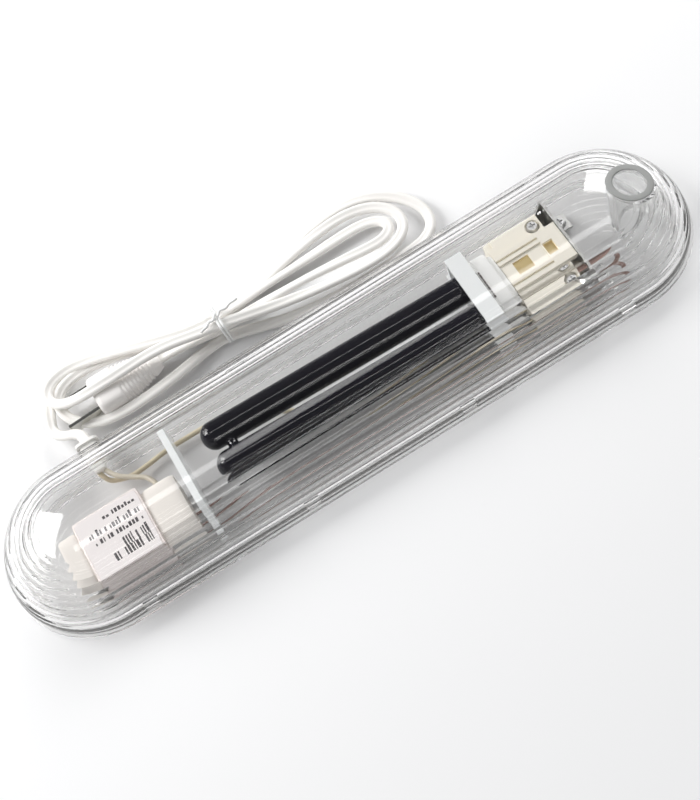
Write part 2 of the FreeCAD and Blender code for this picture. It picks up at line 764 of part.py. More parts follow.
def build_bracket():
    base = box("bracket_base", "bracket_x - bracket_toe", "-bracket_half", "floor_thick",
               "bracket_toe", "2 * bracket_half", "bracket_steel")
    plate = box("bracket_plate", "bracket_x - bracket_steel", "-bracket_half", "floor_thick",
                "bracket_steel", "2 * bracket_half", "bracket_top - floor_thick")
    far = padded(
        "bracket_gusset",
        "XZ_Plane",
        [
            ("bracket_x", "floor_thick"),
            ("bracket_x", "bracket_top"),
            ("bracket_x - 1.5", "bracket_top"),
            ("bracket_x - ear_length", "floor_thick + bracket_steel + 2"),
            ("bracket_x - ear_length", "floor_thick"),
        ],
        "bracket_steel",
    )
    place(far, "0", "bracket_half", "0")
    near = box("bracket_ear", "bracket_x - ear_length", "-bracket_half", "floor_thick",
               "ear_length", "bracket_steel", "bracket_top - floor_thick")
    ear = rounded("bracket_ear_soft", near, size("ear_round"),
                  lambda e: runs_along(e, Y_AXIS) and e.CenterOfMass.z > value("lamp_height")
                  and e.CenterOfMass.x < value("bracket_x") - 1)
    tabs = []
    holes = []
    for side in ("1", "-1"):
        tabs.append(box(f"bracket_tab{side}", "bracket_x", f"{side} * tab_y - tab_half", "floor_thick",
                        "tab_length", "2 * tab_half", "bracket_steel"))
        holes.append(rod(f"bracket_tab_hole{side}", "bracket_x + tab_length / 2", f"{side} * tab_y", "0",
                         "small_screw_radius + screw_play", "9"))
        holes.append(rod(f"bracket_base_hole{side}", "holder_screw_x", f"{side} * holder_screw_y", "0",
                         "small_screw_radius + screw_play / 2", "9"))
    holes.append(rod("bracket_ear_hole", "bracket_x - ear_screw_back", "-bracket_half - 1", "ear_screw_z",
                     "small_screw_radius + screw_play / 2", "4", "y"))
    for level in ("high", "low"):
        holes.append(rod(f"bracket_gusset_hole_{level}", f"bracket_x - gusset_hole_{level}_back",
                         "bracket_half - 3", f"gusset_hole_{level}_z", "gusset_hole_radius", "6", "y"))
    holes.append(rod("bracket_lead_hole", "bracket_x - 3", "-bracket_half + lead_hole_side",
                     "bracket_top - lead_hole_drop", "lead_radius + lead_hole_play", "6", "x"))
    node(cut("holder_bracket", fuse("bracket_blank", base, plate, far, ear, *tabs), *holes), "holder_bracket")
    for side, label in (("1", "bracket_screw_far"), ("-1", "bracket_screw_near")):
        screw(label, "bracket_x + tab_length / 2", f"{side} * tab_y", "floor_thick + bracket_steel",
              "bracket_steel")
    screw("bracket_ear_screw", "bracket_x - ear_screw_back", "-bracket_half", "ear_screw_z",
          "bracket_steel + 0.2", "-y")


def build_lamp_rest():
    """A clear frame round the lamp's cap, standing on the floor on two feet."""
    ring = box("rest_ring", "rest_x", "-rest_half", "floor_thick", "rest_length", "2 * rest_half",
               "rest_top - floor_thick")
    feet = box("rest_feet", "rest_x", "-rest_half - rest_foot", "floor_thick", "rest_length",
               "2 * (rest_half + rest_foot)", "rest_beam")
    opening = box("rest_opening", "rest_x - 1", "-cap_width / 2 - rest_play", "rest_sill",
                  "rest_length + 2", "cap_width + 2 * rest_play", "rest_top - rest_sill - rest_beam")
    gap = box("rest_gap", "rest_x - 1", "rest_gap_y", "0",
              "rest_length + 2", "rest_gap_width", "rest_sill + 1")
    blank = fuse("rest_blank", ring, feet)
    node(cut("lamp_rest", blank, opening, gap), "lamp_rest")


# ---------------------------------------------------------------- leads, mains lead, plug


def rounded_route(points):
    """Straight runs joined by tangent arcs; returns the wire, its length and its radii."""
    places = [Vector(*p) for p in points]
    edges = []
    radii = []
    start = places[0]
    for before, corner, after in zip(places, places[1:], places[2:]):
        inward = (corner - before).normalize()
        outward = (after - corner).normalize()
        half = math.acos(max(-1, min(1, inward.dot(outward)))) / 2
        reach = 0.45 * min((corner - before).Length, (after - corner).Length)
        radius = reach / math.tan(half)
        first = corner - inward * reach
        last = corner + outward * reach
        bisector = (outward - inward).normalize()
        middle = corner + bisector * (radius / math.cos(half) - radius)
        edges.append(Part.LineSegment(start, first).toShape())
        edges.append(Part.Arc(first, middle, last).toShape())
        radii.append(round(radius, 1))
        start = last
    edges.append(Part.LineSegment(start, places[-1]).toShape())
    return Part.Wire(edges), radii


def tube(label, points, radius):
    """A round tube along a rounded route, with its volume compared with section times length."""
    path, radii = rounded_route(points)
    heading = Vector(*points[1]) - Vector(*points[0])
    ring = Part.Wire(Part.makeCircle(radius, Vector(*points[0]), heading))
    solid = path.makePipeShell([ring], True, True)
    share = solid.Volume / (math.pi * radius**2 * path.Length)
    print(f"{label}: length {path.Length:.1f}, radii {radii}, volume share {share:.3f}")
    node(feature(label, solid), label)


# the mains lead from its gland to the hank
CORD_ROUTE = (
    (-108.0, 42.5, 10.2),
    (-108.0, 46.6, 10.2),
    (-110.6, 50.2, 9.6),
    (-114.6, 52.4, 8.4),
    (-118.0, 55.6, 7.1),
    (-119.4, 60.2, 5.8),
    (-118.4, 65.4, 4.8),
)

# beige neutral: through the partition's notch, under the lamp and past its rest to the holder's front
NEUTRAL_ROUTE = (
    (-109.4, 26.0, 10.3),
    (-107.4, 21.6, 7.8),
    (-99.0, 19.6, 5.2),
    (-90.0, 21.0, 4.0),
    (-80.0, 22.5, 3.8),
    (-70.0, 22.6, 3.7),
    (-58.0, 22.4, 3.6),
    (-46.0, 20.4, 3.5),
    (-35.0, 14.0, 3.4),
    (-23.0, 5.0, 3.4),
    (-6.0, -3.0, 3.4),
    (14.0, -9.0, 3.4),
    (34.0, -14.2, 3.4),
    (49.0, -18.4, 3.9),
    (58.0, -20.6, 5.0),
    (66.0, -21.0, 5.6),
    (72.4, -20.2, 6.2),
    (77.0, -18.3, 6.8),
    (81.0, -17.8, 7.0),
)

# brown phase: from the coil through the partition, along the near curb, round the bracket
# to the holder's back
PHASE_ROUTE = (
    (-82.0, -18.0, 9.0),
    (-75.0, -18.0, 9.0),
    (-68.0, -19.6, 7.6),
    (-60.0, -22.0, 5.4),
    (-48.0, -23.8, 4.0),
    (-26.0, -24.6, 3.6),
    (14.0, -24.9, 3.5),
    (54.0, -25.0, 3.6),
    (86.0, -25.2, 3.9),
    (108.0, -25.3, 4.6),
    (118.6, -25.0, 6.4),
    (124.4, -22.2, 9.4),
    (125.6, -18.0, 13.0),
    (121.4, -16.2, 15.8),
    (114.6, -16.0, 16.5),
    (107.0, -16.0, 16.5),
)

# black link from the gland to the coil's far side
LINK_ROUTE = (
    (-106.5, 26.0, 10.4),
    (-103.4, 20.4, 10.5),
    (-98.0, 16.4, 10.2),
    (-92.4, 12.4, 10.6),
    (-90.2, 7.4, 11.0),
    (-90.0, 3.2, 11.0),
)


def build_leads():
    radius = size("lead_radius")
    tube("lead_neutral", NEUTRAL_ROUTE, radius)
    tube("lead_phase", PHASE_ROUTE, radius)
    tube("lead_link", LINK_ROUTE, radius)


def build_gland():
    """Flat bushing in the seam: a lip outside the wall, a waist through it, a tapered tail inside."""
    outside = "flange_width / 2"
    lip = box("gland_lip_block", "exit_x - gland_half - gland_lip_side", outside, "seam_height",
              "2 * (gland_half + gland_lip_side)", "gland_lip", "gland_high - seam_height + gland_lip_side")
    waist = box("gland_waist", "exit_x - gland_half", f"{outside} - gland_inner / 2",
                "gland_low", "2 * gland_half", "gland_inner / 2", "gland_high - gland_low")
    tail = taper("gland_tail", "exit_x", f"{outside} - gland_inner / 2 + 0.01", "exit_z",
                 "gland_half - 0.8", "cord_width / 2 + 0.6", "gland_inner / 2 - 1.6", "-y")
    bore = rod("gland_bore", "exit_x", "rail_offset - 6", "exit_z", "cord_width / 2", "30", "y")
    node(cut("cord_gland", fuse("gland_blank", lip, waist, tail), bore), "cord_gland")


HANK_OUTLINE = (
    (-31.5, 53.5), (-10.0, 47.0), (15.0, 42.8), (45.0, 42.0), (66.0, 42.6), (76.0, 50.0), (76.5, 62.0),
    (68.0, 75.0), (54.0, 84.0), (38.0, 87.0), (14.0, 82.0), (-8.0, 74.5), (-31.5, 67.0),
    (-58.0, 80.0), (-84.0, 87.0), (-104.0, 88.0), (-117.0, 81.0), (-121.0, 71.0), (-117.0, 62.6),
    (-108.0, 55.4), (-94.0, 45.6), (-74.0, 45.8), (-50.0, 53.5),
)
RIGHT_EYE = ((4.0, 66.0), (26.0, 59.0), (50.0, 57.0), (58.0, 62.0), (52.0, 72.0), (34.0, 75.0))
LEFT_EYE = ((-66.0, 62.0), (-71.0, 52.4), (-96.0, 51.8), (-101.0, 61.0), (-97.0, 72.0), (-71.0, 72.2))
TIE_X, TIE_Y = -31.8, 60.3
TIE_BAND = 3.4
TIE_OUTER = 15.0
TIE_INNER = 12.2
TIE_FOOT = 1.2
TIE_ROOF = 0.8
TIE_PROUD = 0.2
TIE_WIRE = 0.7
TIE_TAILS = (
    ((-31.8, 60.3, 16.6), (-37.0, 59.4, 17.4), (-41.5, 56.0, 17.0)),
    ((-31.8, 60.3, 16.6), (-26.0, 61.6, 17.6), (-19.5, 62.4, 17.0)),
)


def loop_face(points):
    curve = Part.BSplineCurve()
    curve.interpolate([Vector(x, y, 0) for x, y in points], PeriodicFlag=True)
    return Part.Face(Part.Wire(curve.toShape()))


def tied_waist():
    """The pinched bundle that the tie goes round, longer than the band."""
    corner = Vector(TIE_X - 1.5 * TIE_BAND, TIE_Y - TIE_INNER / 2, TIE_FOOT)
    return Part.makeBox(3 * TIE_BAND, TIE_INNER, size("hank_height") - TIE_FOOT - TIE_ROOF, corner)


def tie_ring(inset):
    """A closed band round the hank's waist, its outside drawn in by the inset."""
    width = TIE_OUTER - 2 * inset
    top = size("hank_height") + TIE_PROUD
    outer = Part.makeBox(TIE_BAND, width, top - inset, Vector(TIE_X - TIE_BAND / 2, TIE_Y - width / 2, inset))
    return outer.cut(tied_waist())


def build_hank():
    """Closed solid of the folded lead's outer shape: two flat eyes pinched together by the tie."""
    height = size("hank_height")
    solid = loop_face(HANK_OUTLINE).extrude(Vector(0, 0, height))
    for eye in (RIGHT_EYE, LEFT_EYE):
        solid = solid.cut(loop_face(eye).extrude(Vector(0, 0, height)))
    corner = Vector(TIE_X - TIE_BAND / 2, TIE_Y - 2 * TIE_OUTER, -1)
    trim = Part.makeBox(TIE_BAND, 4 * TIE_OUTER, height * 2, corner).cut(tied_waist())
    hank = node(feature("cord_hank", solid.cut(trim)), "cord_hank")
    tie = tie_ring(size("tie_inset"))
    for tail in TIE_TAILS:
        path, _ = rounded_route(tail)
        heading = Vector(*tail[1]) - Vector(*tail[0])
        ring = Part.Wire(Part.makeCircle(TIE_WIRE, Vector(*tail[0]), heading))
        tie = tie.fuse(path.makePipeShell([ring], True, True))
    node(feature("cord_tie", tie), "cord_tie")
    return hank


def build_cord(hank):
    """The uncoiled stretch, from the gland's face to the hank's side."""
    tube("mains_cord", CORD_ROUTE, size("cord_width") / 2)
    whole = NODES["mains_cord"]
    whole.Label = "mains_cord_whole"
    trimmed = cut("cord_outside_hank", whole, hank)
    node(trimmed, "mains_cord")


def build_plug():
    """Flat two-pin plug: broad at the blades, waisted at the grip, its blades towards -X."""
    turn = Rotation(Vector(0, 0, 1), size("plug_turn_deg"))

    def at_plug(obj):
        obj.Placement = Placement(Vector(), turn)
        return place(obj, "plug_x", "plug_y", "plug_lift")

    length, width, thick = size("plug_length"), size("plug_width"), size("plug_thick")
    stations = ((-0.5, 0.92, 0.92), (-0.44, 1.0, 1.0), (0.05, 0.86, 0.9), (0.3, 0.62, 0.72), (0.5, 0.5, 0.56))
    wires = []
    for along, wide, high in stations:
        x = length * along
        half_y, half_z = width * wide / 2, thick * high / 2
        corner = min(half_y, half_z) * 0.5
        eighths = [(half_y - corner, half_z), (half_y, half_z - corner)]
        quarter = eighths + [(y, -z) for y, z in reversed(eighths)]
        ring = quarter + [(-y, -z) for y, z in quarter]
        points = [Vector(x, y, thick / 2 + z) for y, z in ring]
        wires.append(Part.makePolygon(points + points[:1]))
    node(at_plug(feature("plug_body_loft", Part.makeLoft(wires, True, True))), "plug_body")
    for label, side in (("plug_blade_far", "1"), ("plug_blade_near", "-1")):
        blade = box(label, "0", "0", "0", "blade_length", "blade_thick", "blade_width")
        blade.Placement = Placement(Vector(), turn)
        back = turn.multVec(Vector(-size("plug_length") / 2 - size("blade_length"),
                                   float(side) * size("blade_pitch") / 2 - size("blade_thick") / 2, 0))
        place(blade, f"plug_x + {back.x}", f"plug_y + {back.y}",
              "plug_lift + plug_thick / 2 - blade_width / 2")
        node(blade, label)


# ---------------------------------------------------------------- build, check, write

build_tray()
build_cover()
build_hanging_sleeve()
build_partition()
build_ballast()
build_holder()
build_bracket()
build_lamp_rest()
build_lamp()
build_gland()
build_leads()
build_cord(build_hank())
build_plug()

doc.recompute()

faults = []
for obj in doc.Objects:
    if "Invalid" in obj.State or "Error" in obj.State:
        faults.append(f"{obj.Name}: {obj.State}")
for label, obj in NODES.items():
    if obj.Shape.isNull() or not obj.Shape.isValid() or obj.Shape.Volume <= 0:
        faults.append(f"{label}: no valid solid")
if faults:
    raise RuntimeError("; ".join(faults))

os.makedirs("parts", exist_ok=True)
for label, obj in NODES.items():
    obj.Shape.exportStep(f"parts/{label}.step")
print(f"{len(NODES)} sub-parts written")
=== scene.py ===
import math

import bmesh
import bpy
import numpy as np
from mathutils import Matrix, Vector


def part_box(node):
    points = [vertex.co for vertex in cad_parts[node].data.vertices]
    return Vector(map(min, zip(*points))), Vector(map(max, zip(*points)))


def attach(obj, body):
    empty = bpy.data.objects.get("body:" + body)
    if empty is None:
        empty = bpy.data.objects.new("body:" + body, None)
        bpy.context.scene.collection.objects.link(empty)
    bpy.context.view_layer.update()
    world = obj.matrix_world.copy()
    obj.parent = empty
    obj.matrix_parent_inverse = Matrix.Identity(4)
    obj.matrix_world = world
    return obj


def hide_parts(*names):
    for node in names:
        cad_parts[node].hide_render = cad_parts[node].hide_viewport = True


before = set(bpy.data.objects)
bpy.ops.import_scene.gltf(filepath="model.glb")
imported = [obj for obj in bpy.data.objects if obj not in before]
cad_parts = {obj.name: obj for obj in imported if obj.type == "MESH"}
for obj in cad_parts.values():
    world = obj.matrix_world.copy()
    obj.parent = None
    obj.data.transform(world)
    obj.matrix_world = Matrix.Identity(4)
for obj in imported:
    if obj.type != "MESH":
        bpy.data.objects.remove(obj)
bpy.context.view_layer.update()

bl_info = {
    "name": "Ultraviolet lamp unit",
    "version": (1, 0, 0),
    "blender": (4, 5, 0),
    "location": "3D View > Sidebar > Lamp unit",
    "description": "Dresses the packed lamp unit: clear case, lamp, ballast, wiring and folded mains lead",
    "category": "Add Mesh",
}

MM = 0.001

# How far printed bars stand above their surface, and how tall the bars are.
PRINT_PROUD, PRINT_DEPTH = 0.02 * MM, 0.03 * MM


# ------------------------------------------------------------------ measures read from the frame


def low(node):
    """The lowest corner of a node's box."""
    return np.array(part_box(node)[0])


def high(node):
    """The highest corner of a node's box."""
    return np.array(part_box(node)[1])


TRAY_HIGH = high("tray_shell")
COVER_LOW, COVER_HIGH = low("cover_shell"), high("cover_shell")
FLANGE_RADIUS = float(TRAY_HIGH[1])
END_X = float(TRAY_HIGH[0]) - FLANGE_RADIUS
SEAM = float(COVER_LOW[2])
CROWN = float(COVER_HIGH[2])
SLEEVE_X = float((low("hanging_sleeve") + high("hanging_sleeve"))[0] / 2)
SLEEVE_RADIUS = float((high("hanging_sleeve") - low("hanging_sleeve"))[1] / 2)
GLAND_X = float((low("cord_gland") + high("cord_gland"))[0] / 2)
CATCH_INNER_X, CATCH_END_INSET = 38.0 * MM, 9.5 * MM
CATCH_PLACES = [x * side for side in (1, -1) for x in (CATCH_INNER_X, END_X - CATCH_END_INSET)]


# ------------------------------------------------------------------ settings


def length_setting(name, text, default, low_end=0.0, high_end=0.4):
    """A length in metres."""
    return bpy.props.FloatProperty(
        name=name, description=text, default=default, min=low_end, max=high_end,
        subtype="DISTANCE", unit="LENGTH", precision=5)


def colour_setting(name, text, default):
    """A colour of three linear channels."""
    return bpy.props.FloatVectorProperty(
        name=name, description=text, default=default, size=3, min=0.0, max=1.0, subtype="COLOR")


class LampUnitCase(bpy.types.PropertyGroup):
    wall: length_setting("Wall", "Thickness of the clear cover", 2.0 * MM)
    floor: length_setting("Floor", "Thickness of the tray's floor", 2.2 * MM)
    flute_count: bpy.props.IntProperty(
        name="Flutes", description="Lengthwise flutes up each side of the cover", default=11, min=1, max=40)
    flute_bulge: length_setting("Flute bulge", "How far each flute stands out", 0.5 * MM)
    sleeve_bore: length_setting("Sleeve bore", "Radius of the hanging sleeve's bore", 7.0 * MM)
    sleeve_slope: bpy.props.FloatProperty(
        name="Sleeve slope", description="Tilt of the sleeve's rim", default=math.radians(17.0),
        subtype="ANGLE", unit="ROTATION")
    tint: colour_setting("Tint", "Colour of the clear plastic", (0.975, 0.972, 0.968))


class LampUnitLamp(bpy.types.PropertyGroup):
    tilt: bpy.props.FloatProperty(
        name="Tilt", description="How far the lamp leans, tip up", default=math.radians(2.5),
        subtype="ANGLE", unit="ROTATION")
    tube_radius: length_setting("Tube radius", "Radius of each glass tube", 6.25 * MM)
    glass: colour_setting("Glass", "Colour of the filter glass", (0.004, 0.004, 0.006))
    cap: colour_setting("Cap", "Colour of the lamp's cap", (0.86, 0.86, 0.84))


class LampUnitBallast(bpy.types.PropertyGroup):
    sheet: length_setting("Lamination", "Pitch of the core's laminations", 0.55 * MM)
    paper: colour_setting("Plate", "Colour of the rating plate", (0.80, 0.71, 0.69))
    ink: colour_setting("Ink", "Colour of the plate's plain bars", (0.03, 0.025, 0.028))
    tape: colour_setting("Tape", "Colour of the coil's wrapping", (0.76, 0.67, 0.63))


class LampUnitHolder(bpy.types.PropertyGroup):
    cream: colour_setting("Moulding", "Colour of the lamp holder", (0.84, 0.56, 0.28))
    steel: colour_setting("Steel", "Colour of the plated bracket", (0.56, 0.56, 0.55))


class LampUnitLead(bpy.types.PropertyGroup):
    width: length_setting("Width", "Width of the flat twin lead", 5.0 * MM)
    thickness: length_setting("Thickness", "Thickness of the flat twin lead", 3.0 * MM)
    white: colour_setting("Vinyl", "Colour of the mains lead", (0.60, 0.585, 0.56))


class LampUnitStage(bpy.types.PropertyGroup):
    key: bpy.props.FloatProperty(
        name="Key light", description="Power of the largest softbox, in watts", default=11.5, min=0.0)
    sky: bpy.props.FloatProperty(
        name="Sky", description="Strength of the even white surroundings", default=0.10, min=0.0)
    paper: colour_setting("Floor", "Colour of the floor", (0.93, 0.93, 0.935))


SETTINGS = {
    "lamp_unit_case": LampUnitCase,
    "lamp_unit_lamp": LampUnitLamp,
    "lamp_unit_ballast": LampUnitBallast,
    "lamp_unit_holder": LampUnitHolder,
    "lamp_unit_lead": LampUnitLead,
    "lamp_unit_stage": LampUnitStage,
}


# ------------------------------------------------------------------ surfaces


def grid_faces(rows, columns, round_rows=False, round_columns=False):
    """Quads of a grid whose points are counted row by row; a direction may close on itself."""
    r = np.arange(rows if round_rows else rows - 1)
    c = np.arange(columns if round_columns else columns - 1)
    r, c = np.meshgrid(r, c, indexing="ij")
    r2, c2 = (r + 1) % rows, (c + 1) % columns
    quads = [r * columns + c, r2 * columns + c, r2 * columns + c2, r * columns + c2]
    return np.stack(quads, -1).reshape(-1, 4).tolist()


def joined(*surfaces):
    """Several (points, faces) pairs as one."""
    points, faces, count = [], [], 0
    for p, f in surfaces:
        p = np.asarray(p, float).reshape(-1, 3)
        points.append(p)
        faces += [[i + count for i in face] for face in f]
        count += len(p)
    return np.concatenate(points), faces


def piece(name, surface, body, material, replaces=(), crease=38.0):
    """A new mesh object: doubles merged, faces turned outwards, smooth up to the crease angle, and
    riding on a body."""
    points, faces = surface
    mesh = bpy.data.meshes.new(name)
    mesh.from_pydata(np.asarray(points, float).reshape(-1, 3).tolist(), [], faces)
    work = bmesh.new()
    work.from_mesh(mesh)
    bmesh.ops.remove_doubles(work, verts=work.verts, dist=2e-6)
    bmesh.ops.recalc_face_normals(work, faces=work.faces)
    work.to_mesh(mesh)
    work.free()
    obj = bpy.data.objects.new(name, mesh)
    bpy.context.scene.collection.objects.link(obj)
    smooth(obj, crease)
    if material:
        mesh.materials.append(material)
    if body:
        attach(obj, body)
        if replaces:
            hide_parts(*replaces)
    return obj


def smooth(obj, crease):
    """Smooth shading, with edges sharper than the crease angle kept."""
    obj.data.shade_smooth()
    obj.data.set_sharp_from_angle(angle=math.radians(crease))


def carried_round_capsule(profile, half_run, steps=44):
    """Profile (radius, height) carried round a capsule: each half turn about (+-half_run, 0), so that
    x = +-half_run + r cos t and y = r sin t, and the straight sides are the quads between the half turns."""
    turn = np.linspace(-90.0, 90.0, steps + 1)
    angle = np.radians(np.concatenate([turn, turn + 180.0]))[:, None]
    centre = np.repeat([half_run, -half_run], steps + 1)[:, None]
    r, z = np.asarray(profile, float).T
    x = centre + r * np.cos(angle)
    y = r * np.sin(angle)
    points = np.stack([x, y, np.broadcast_to(z, x.shape)], -1)
    return points, grid_faces(len(angle), len(r), round_rows=True)


def turned(profile, axis_x=0.0, axis_y=0.0, steps=64, height=None):
    """Profile (radius, height) turned about an upright axis; height(x, y, z) may reshape the heights."""
    angle = np.linspace(0, 2 * math.pi, steps, endpoint=False)[:, None]
    r, z = np.asarray(profile, float).T
    x, y = r * np.cos(angle), r * np.sin(angle)
    z = np.broadcast_to(z, x.shape)
    if height is not None:
        z = height(x, y, z)
    points = np.stack([x + axis_x, y + axis_y, z], -1)
    return points, grid_faces(steps, len(r), round_rows=True)


def lofted(stations, round_points=40, power=5.0):
    """A closed bar along X. Each station is (x, y centre, z centre, half width, half height); its section
    is the superellipse |y/a|^n + |z/b|^n = 1, and both ends are drawn to a point in the end's own plane."""
    s = np.asarray(stations, float)
    ends = s[[0, -1]].copy()
    ends[:, 3:5] = 0.0
    s = np.concatenate([ends[:1], s, ends[1:]])
    t = np.linspace(0, 2 * math.pi, round_points, endpoint=False)
    c, w = np.cos(t), np.sin(t)
    reach = (np.abs(c) ** power + np.abs(w) ** power) ** (-1 / power)
    y = s[:, 1:2] + s[:, 3:4] * c * reach
    z = s[:, 2:3] + s[:, 4:5] * w * reach
    points = np.stack([np.broadcast_to(s[:, 0:1], y.shape), y, z], -1)
    return points, grid_faces(len(s), round_points, round_columns=True)


def box_between(a, b):
    """A plain block between two corners, for small marks and cutters."""
    corners = np.array([[x, y, z] for x in (0, 1) for y in (0, 1) for z in (0, 1)])
    points = np.asarray(a) + corners * (np.asarray(b) - np.asarray(a))
    faces = [[0, 1, 3, 2], [4, 6, 7, 5], [0, 4, 5, 1], [2, 3, 7, 6], [0, 2, 6, 4], [1, 5, 7, 3]]
    return points, faces


def side_frames(path):
    """Tangent, level side and upward direction at each point of a path."""
    forward = np.gradient(path, axis=0)
    forward /= np.linalg.norm(forward, axis=1, keepdims=True)
    side = np.cross([0.0, 0.0, 1.0], forward)
    side /= np.linalg.norm(side, axis=1, keepdims=True)
    return forward, side, np.cross(forward, side)


def swept(path, ring, lean=None):
    """A ring of (side, up) offsets carried along a path and closed at both ends; lean turns it about
    the path."""
    _, side, up = side_frames(path)
    if lean is not None:
        c, s = np.cos(lean)[:, None], np.sin(lean)[:, None]
        side, up = side * c + up * s, up * c - side * s
    ring = np.asarray(ring, float)
    body = path[:, None] + ring[None, :, :1] * side[:, None] + ring[None, :, 1:] * up[:, None]
    caps = [np.repeat(path[i][None, None], len(ring), 1) for i in (0, -1)]
    points = np.concatenate([caps[0], body, caps[1]])
    return points, grid_faces(len(points), len(ring), round_columns=True)


def round_ring(radius, count=16):
    """A circle of (side, up) offsets."""
    t = np.linspace(0, 2 * math.pi, count, endpoint=False)
    return np.stack([radius * np.cos(t), radius * np.sin(t)], -1)


def smooth_line(points, samples=10):
    """Points along a NURBS curve of order 3 whose control points are given."""
    curve = bpy.data.curves.new("line", "CURVE")
    curve.dimensions = "3D"
    curve.resolution_u = samples
    spline = curve.splines.new("NURBS")
    spline.points.add(len(points) - 1)
    spline.points.foreach_set("co", np.c_[points, np.ones(len(points))].ravel())
    spline.order_u = 3
    spline.use_endpoint_u = True
    bare = bpy.data.objects.new("line", curve)
    mesh = bpy.data.meshes.new_from_object(bare)
    line = np.empty(3 * len(mesh.vertices))
    mesh.vertices.foreach_get("co", line)
    line = line.reshape(-1, 3)
    bpy.data.objects.remove(bare)
    bpy.data.meshes.remove(mesh)
    bpy.data.curves.remove(curve)
    step = np.linalg.norm(np.diff(line, axis=0), axis=1)
    return line[np.concatenate([[True], step > 1e-6])]


def hollowed(obj, cutters, crease):
    """The object with each cutter's volume taken out of it."""
    tools = []
    for n, surface in enumerate(cutters):
        tool = piece(f"cutter_{n}", surface, None, None)
        tools.append(tool)
        cut = obj.modifiers.new(f"cut_{n}", "BOOLEAN")
        cut.operation = "DIFFERENCE"
        cut.solver = "EXACT"
        cut.object = tool
    bpy.context.view_layer.update()
    graph = bpy.context.evaluated_depsgraph_get()
    mesh = bpy.data.meshes.new_from_object(obj.evaluated_get(graph))
    obj.modifiers.clear()
    obj.data = mesh
    for tool in tools:
        bpy.data.objects.remove(tool)
    smooth(obj, crease)


# ------------------------------------------------------------------ shading


def new_group(name, inputs, outputs):
    """An empty shader group with its named sockets, and its input and output nodes."""
    group = bpy.data.node_groups.new(name, "ShaderNodeTree")
    for label, kind, default in inputs:
        socket = group.interface.new_socket(name=label, in_out="INPUT", socket_type=kind)
        socket.default_value = default
    for label, kind in outputs:
        group.interface.new_socket(name=label, in_out="OUTPUT", socket_type=kind)
    return group, group.nodes.new("NodeGroupInput"), group.nodes.new("NodeGroupOutput")


def moulding_group():
    """Cloudy colour, uneven gloss and a fine pebbled surface, as moulded and handled plastic or metal has."""
    if "moulding" in bpy.data.node_groups:
        return bpy.data.node_groups["moulding"]
    group, given, out = new_group(
        "moulding",
        [("Color", "NodeSocketColor", (0.8, 0.8, 0.8, 1)), ("Tint", "NodeSocketColor", (0.7, 0.7, 0.7, 1)),
         ("Cloud Scale", "NodeSocketFloat", 60.0), ("Cloud Amount", "NodeSocketFloat", 0.4),
         ("Roughness", "NodeSocketFloat", 0.4), ("Spread", "NodeSocketFloat", 0.1),
         ("Grain Scale", "NodeSocketFloat", 2500.0), ("Grain Depth", "NodeSocketFloat", 0.1),
         ("Stretch", "NodeSocketVector", (1, 1, 1))],
        [("Color", "NodeSocketColor"), ("Roughness", "NodeSocketFloat"), ("Normal", "NodeSocketVector")])
    nodes, link = group.nodes, group.links.new
    place = nodes.new("ShaderNodeTexCoord")
    stretch = nodes.new("ShaderNodeVectorMath")
    stretch.operation = "MULTIPLY"
    link(place.outputs["Object"], stretch.inputs[0])
    link(given.outputs["Stretch"], stretch.inputs[1])
    clouds = nodes.new("ShaderNodeTexNoise")
    clouds.inputs["Detail"].default_value = 4.0
    link(stretch.outputs[0], clouds.inputs["Vector"])
    link(given.outputs["Cloud Scale"], clouds.inputs["Scale"])
    grain = nodes.new("ShaderNodeTexNoise")
    grain.inputs["Detail"].default_value = 2.0
    link(stretch.outputs[0], grain.inputs["Vector"])
    link(given.outputs["Grain Scale"], grain.inputs["Scale"])
    share = nodes.new("ShaderNodeMath")
    share.operation = "MULTIPLY"
    link(clouds.outputs["Fac"], share.inputs[0])
    link(given.outputs["Cloud Amount"], share.inputs[1])
    mix = nodes.new("ShaderNodeMix")
    mix.data_type = "RGBA"
    link(share.outputs[0], mix.inputs["Factor"])
    link(given.outputs["Color"], mix.inputs["A"])
    link(given.outputs["Tint"], mix.inputs["B"])
    link(mix.outputs["Result"], out.inputs["Color"])
    gloss = nodes.new("ShaderNodeMath")
    gloss.operation = "MULTIPLY_ADD"
    link(clouds.outputs["Fac"], gloss.inputs[0])
    link(given.outputs["Spread"], gloss.inputs[1])
    link(given.outputs["Roughness"], gloss.inputs[2])
    link(gloss.outputs[0], out.inputs["Roughness"])
    bump = nodes.new("ShaderNodeBump")
    bump.inputs["Distance"].default_value = 0.05 * MM
    link(given.outputs["Grain Depth"], bump.inputs["Strength"])
    link(grain.outputs["Fac"], bump.inputs["Height"])
    link(bump.outputs["Normal"], out.inputs["Normal"])
    return group


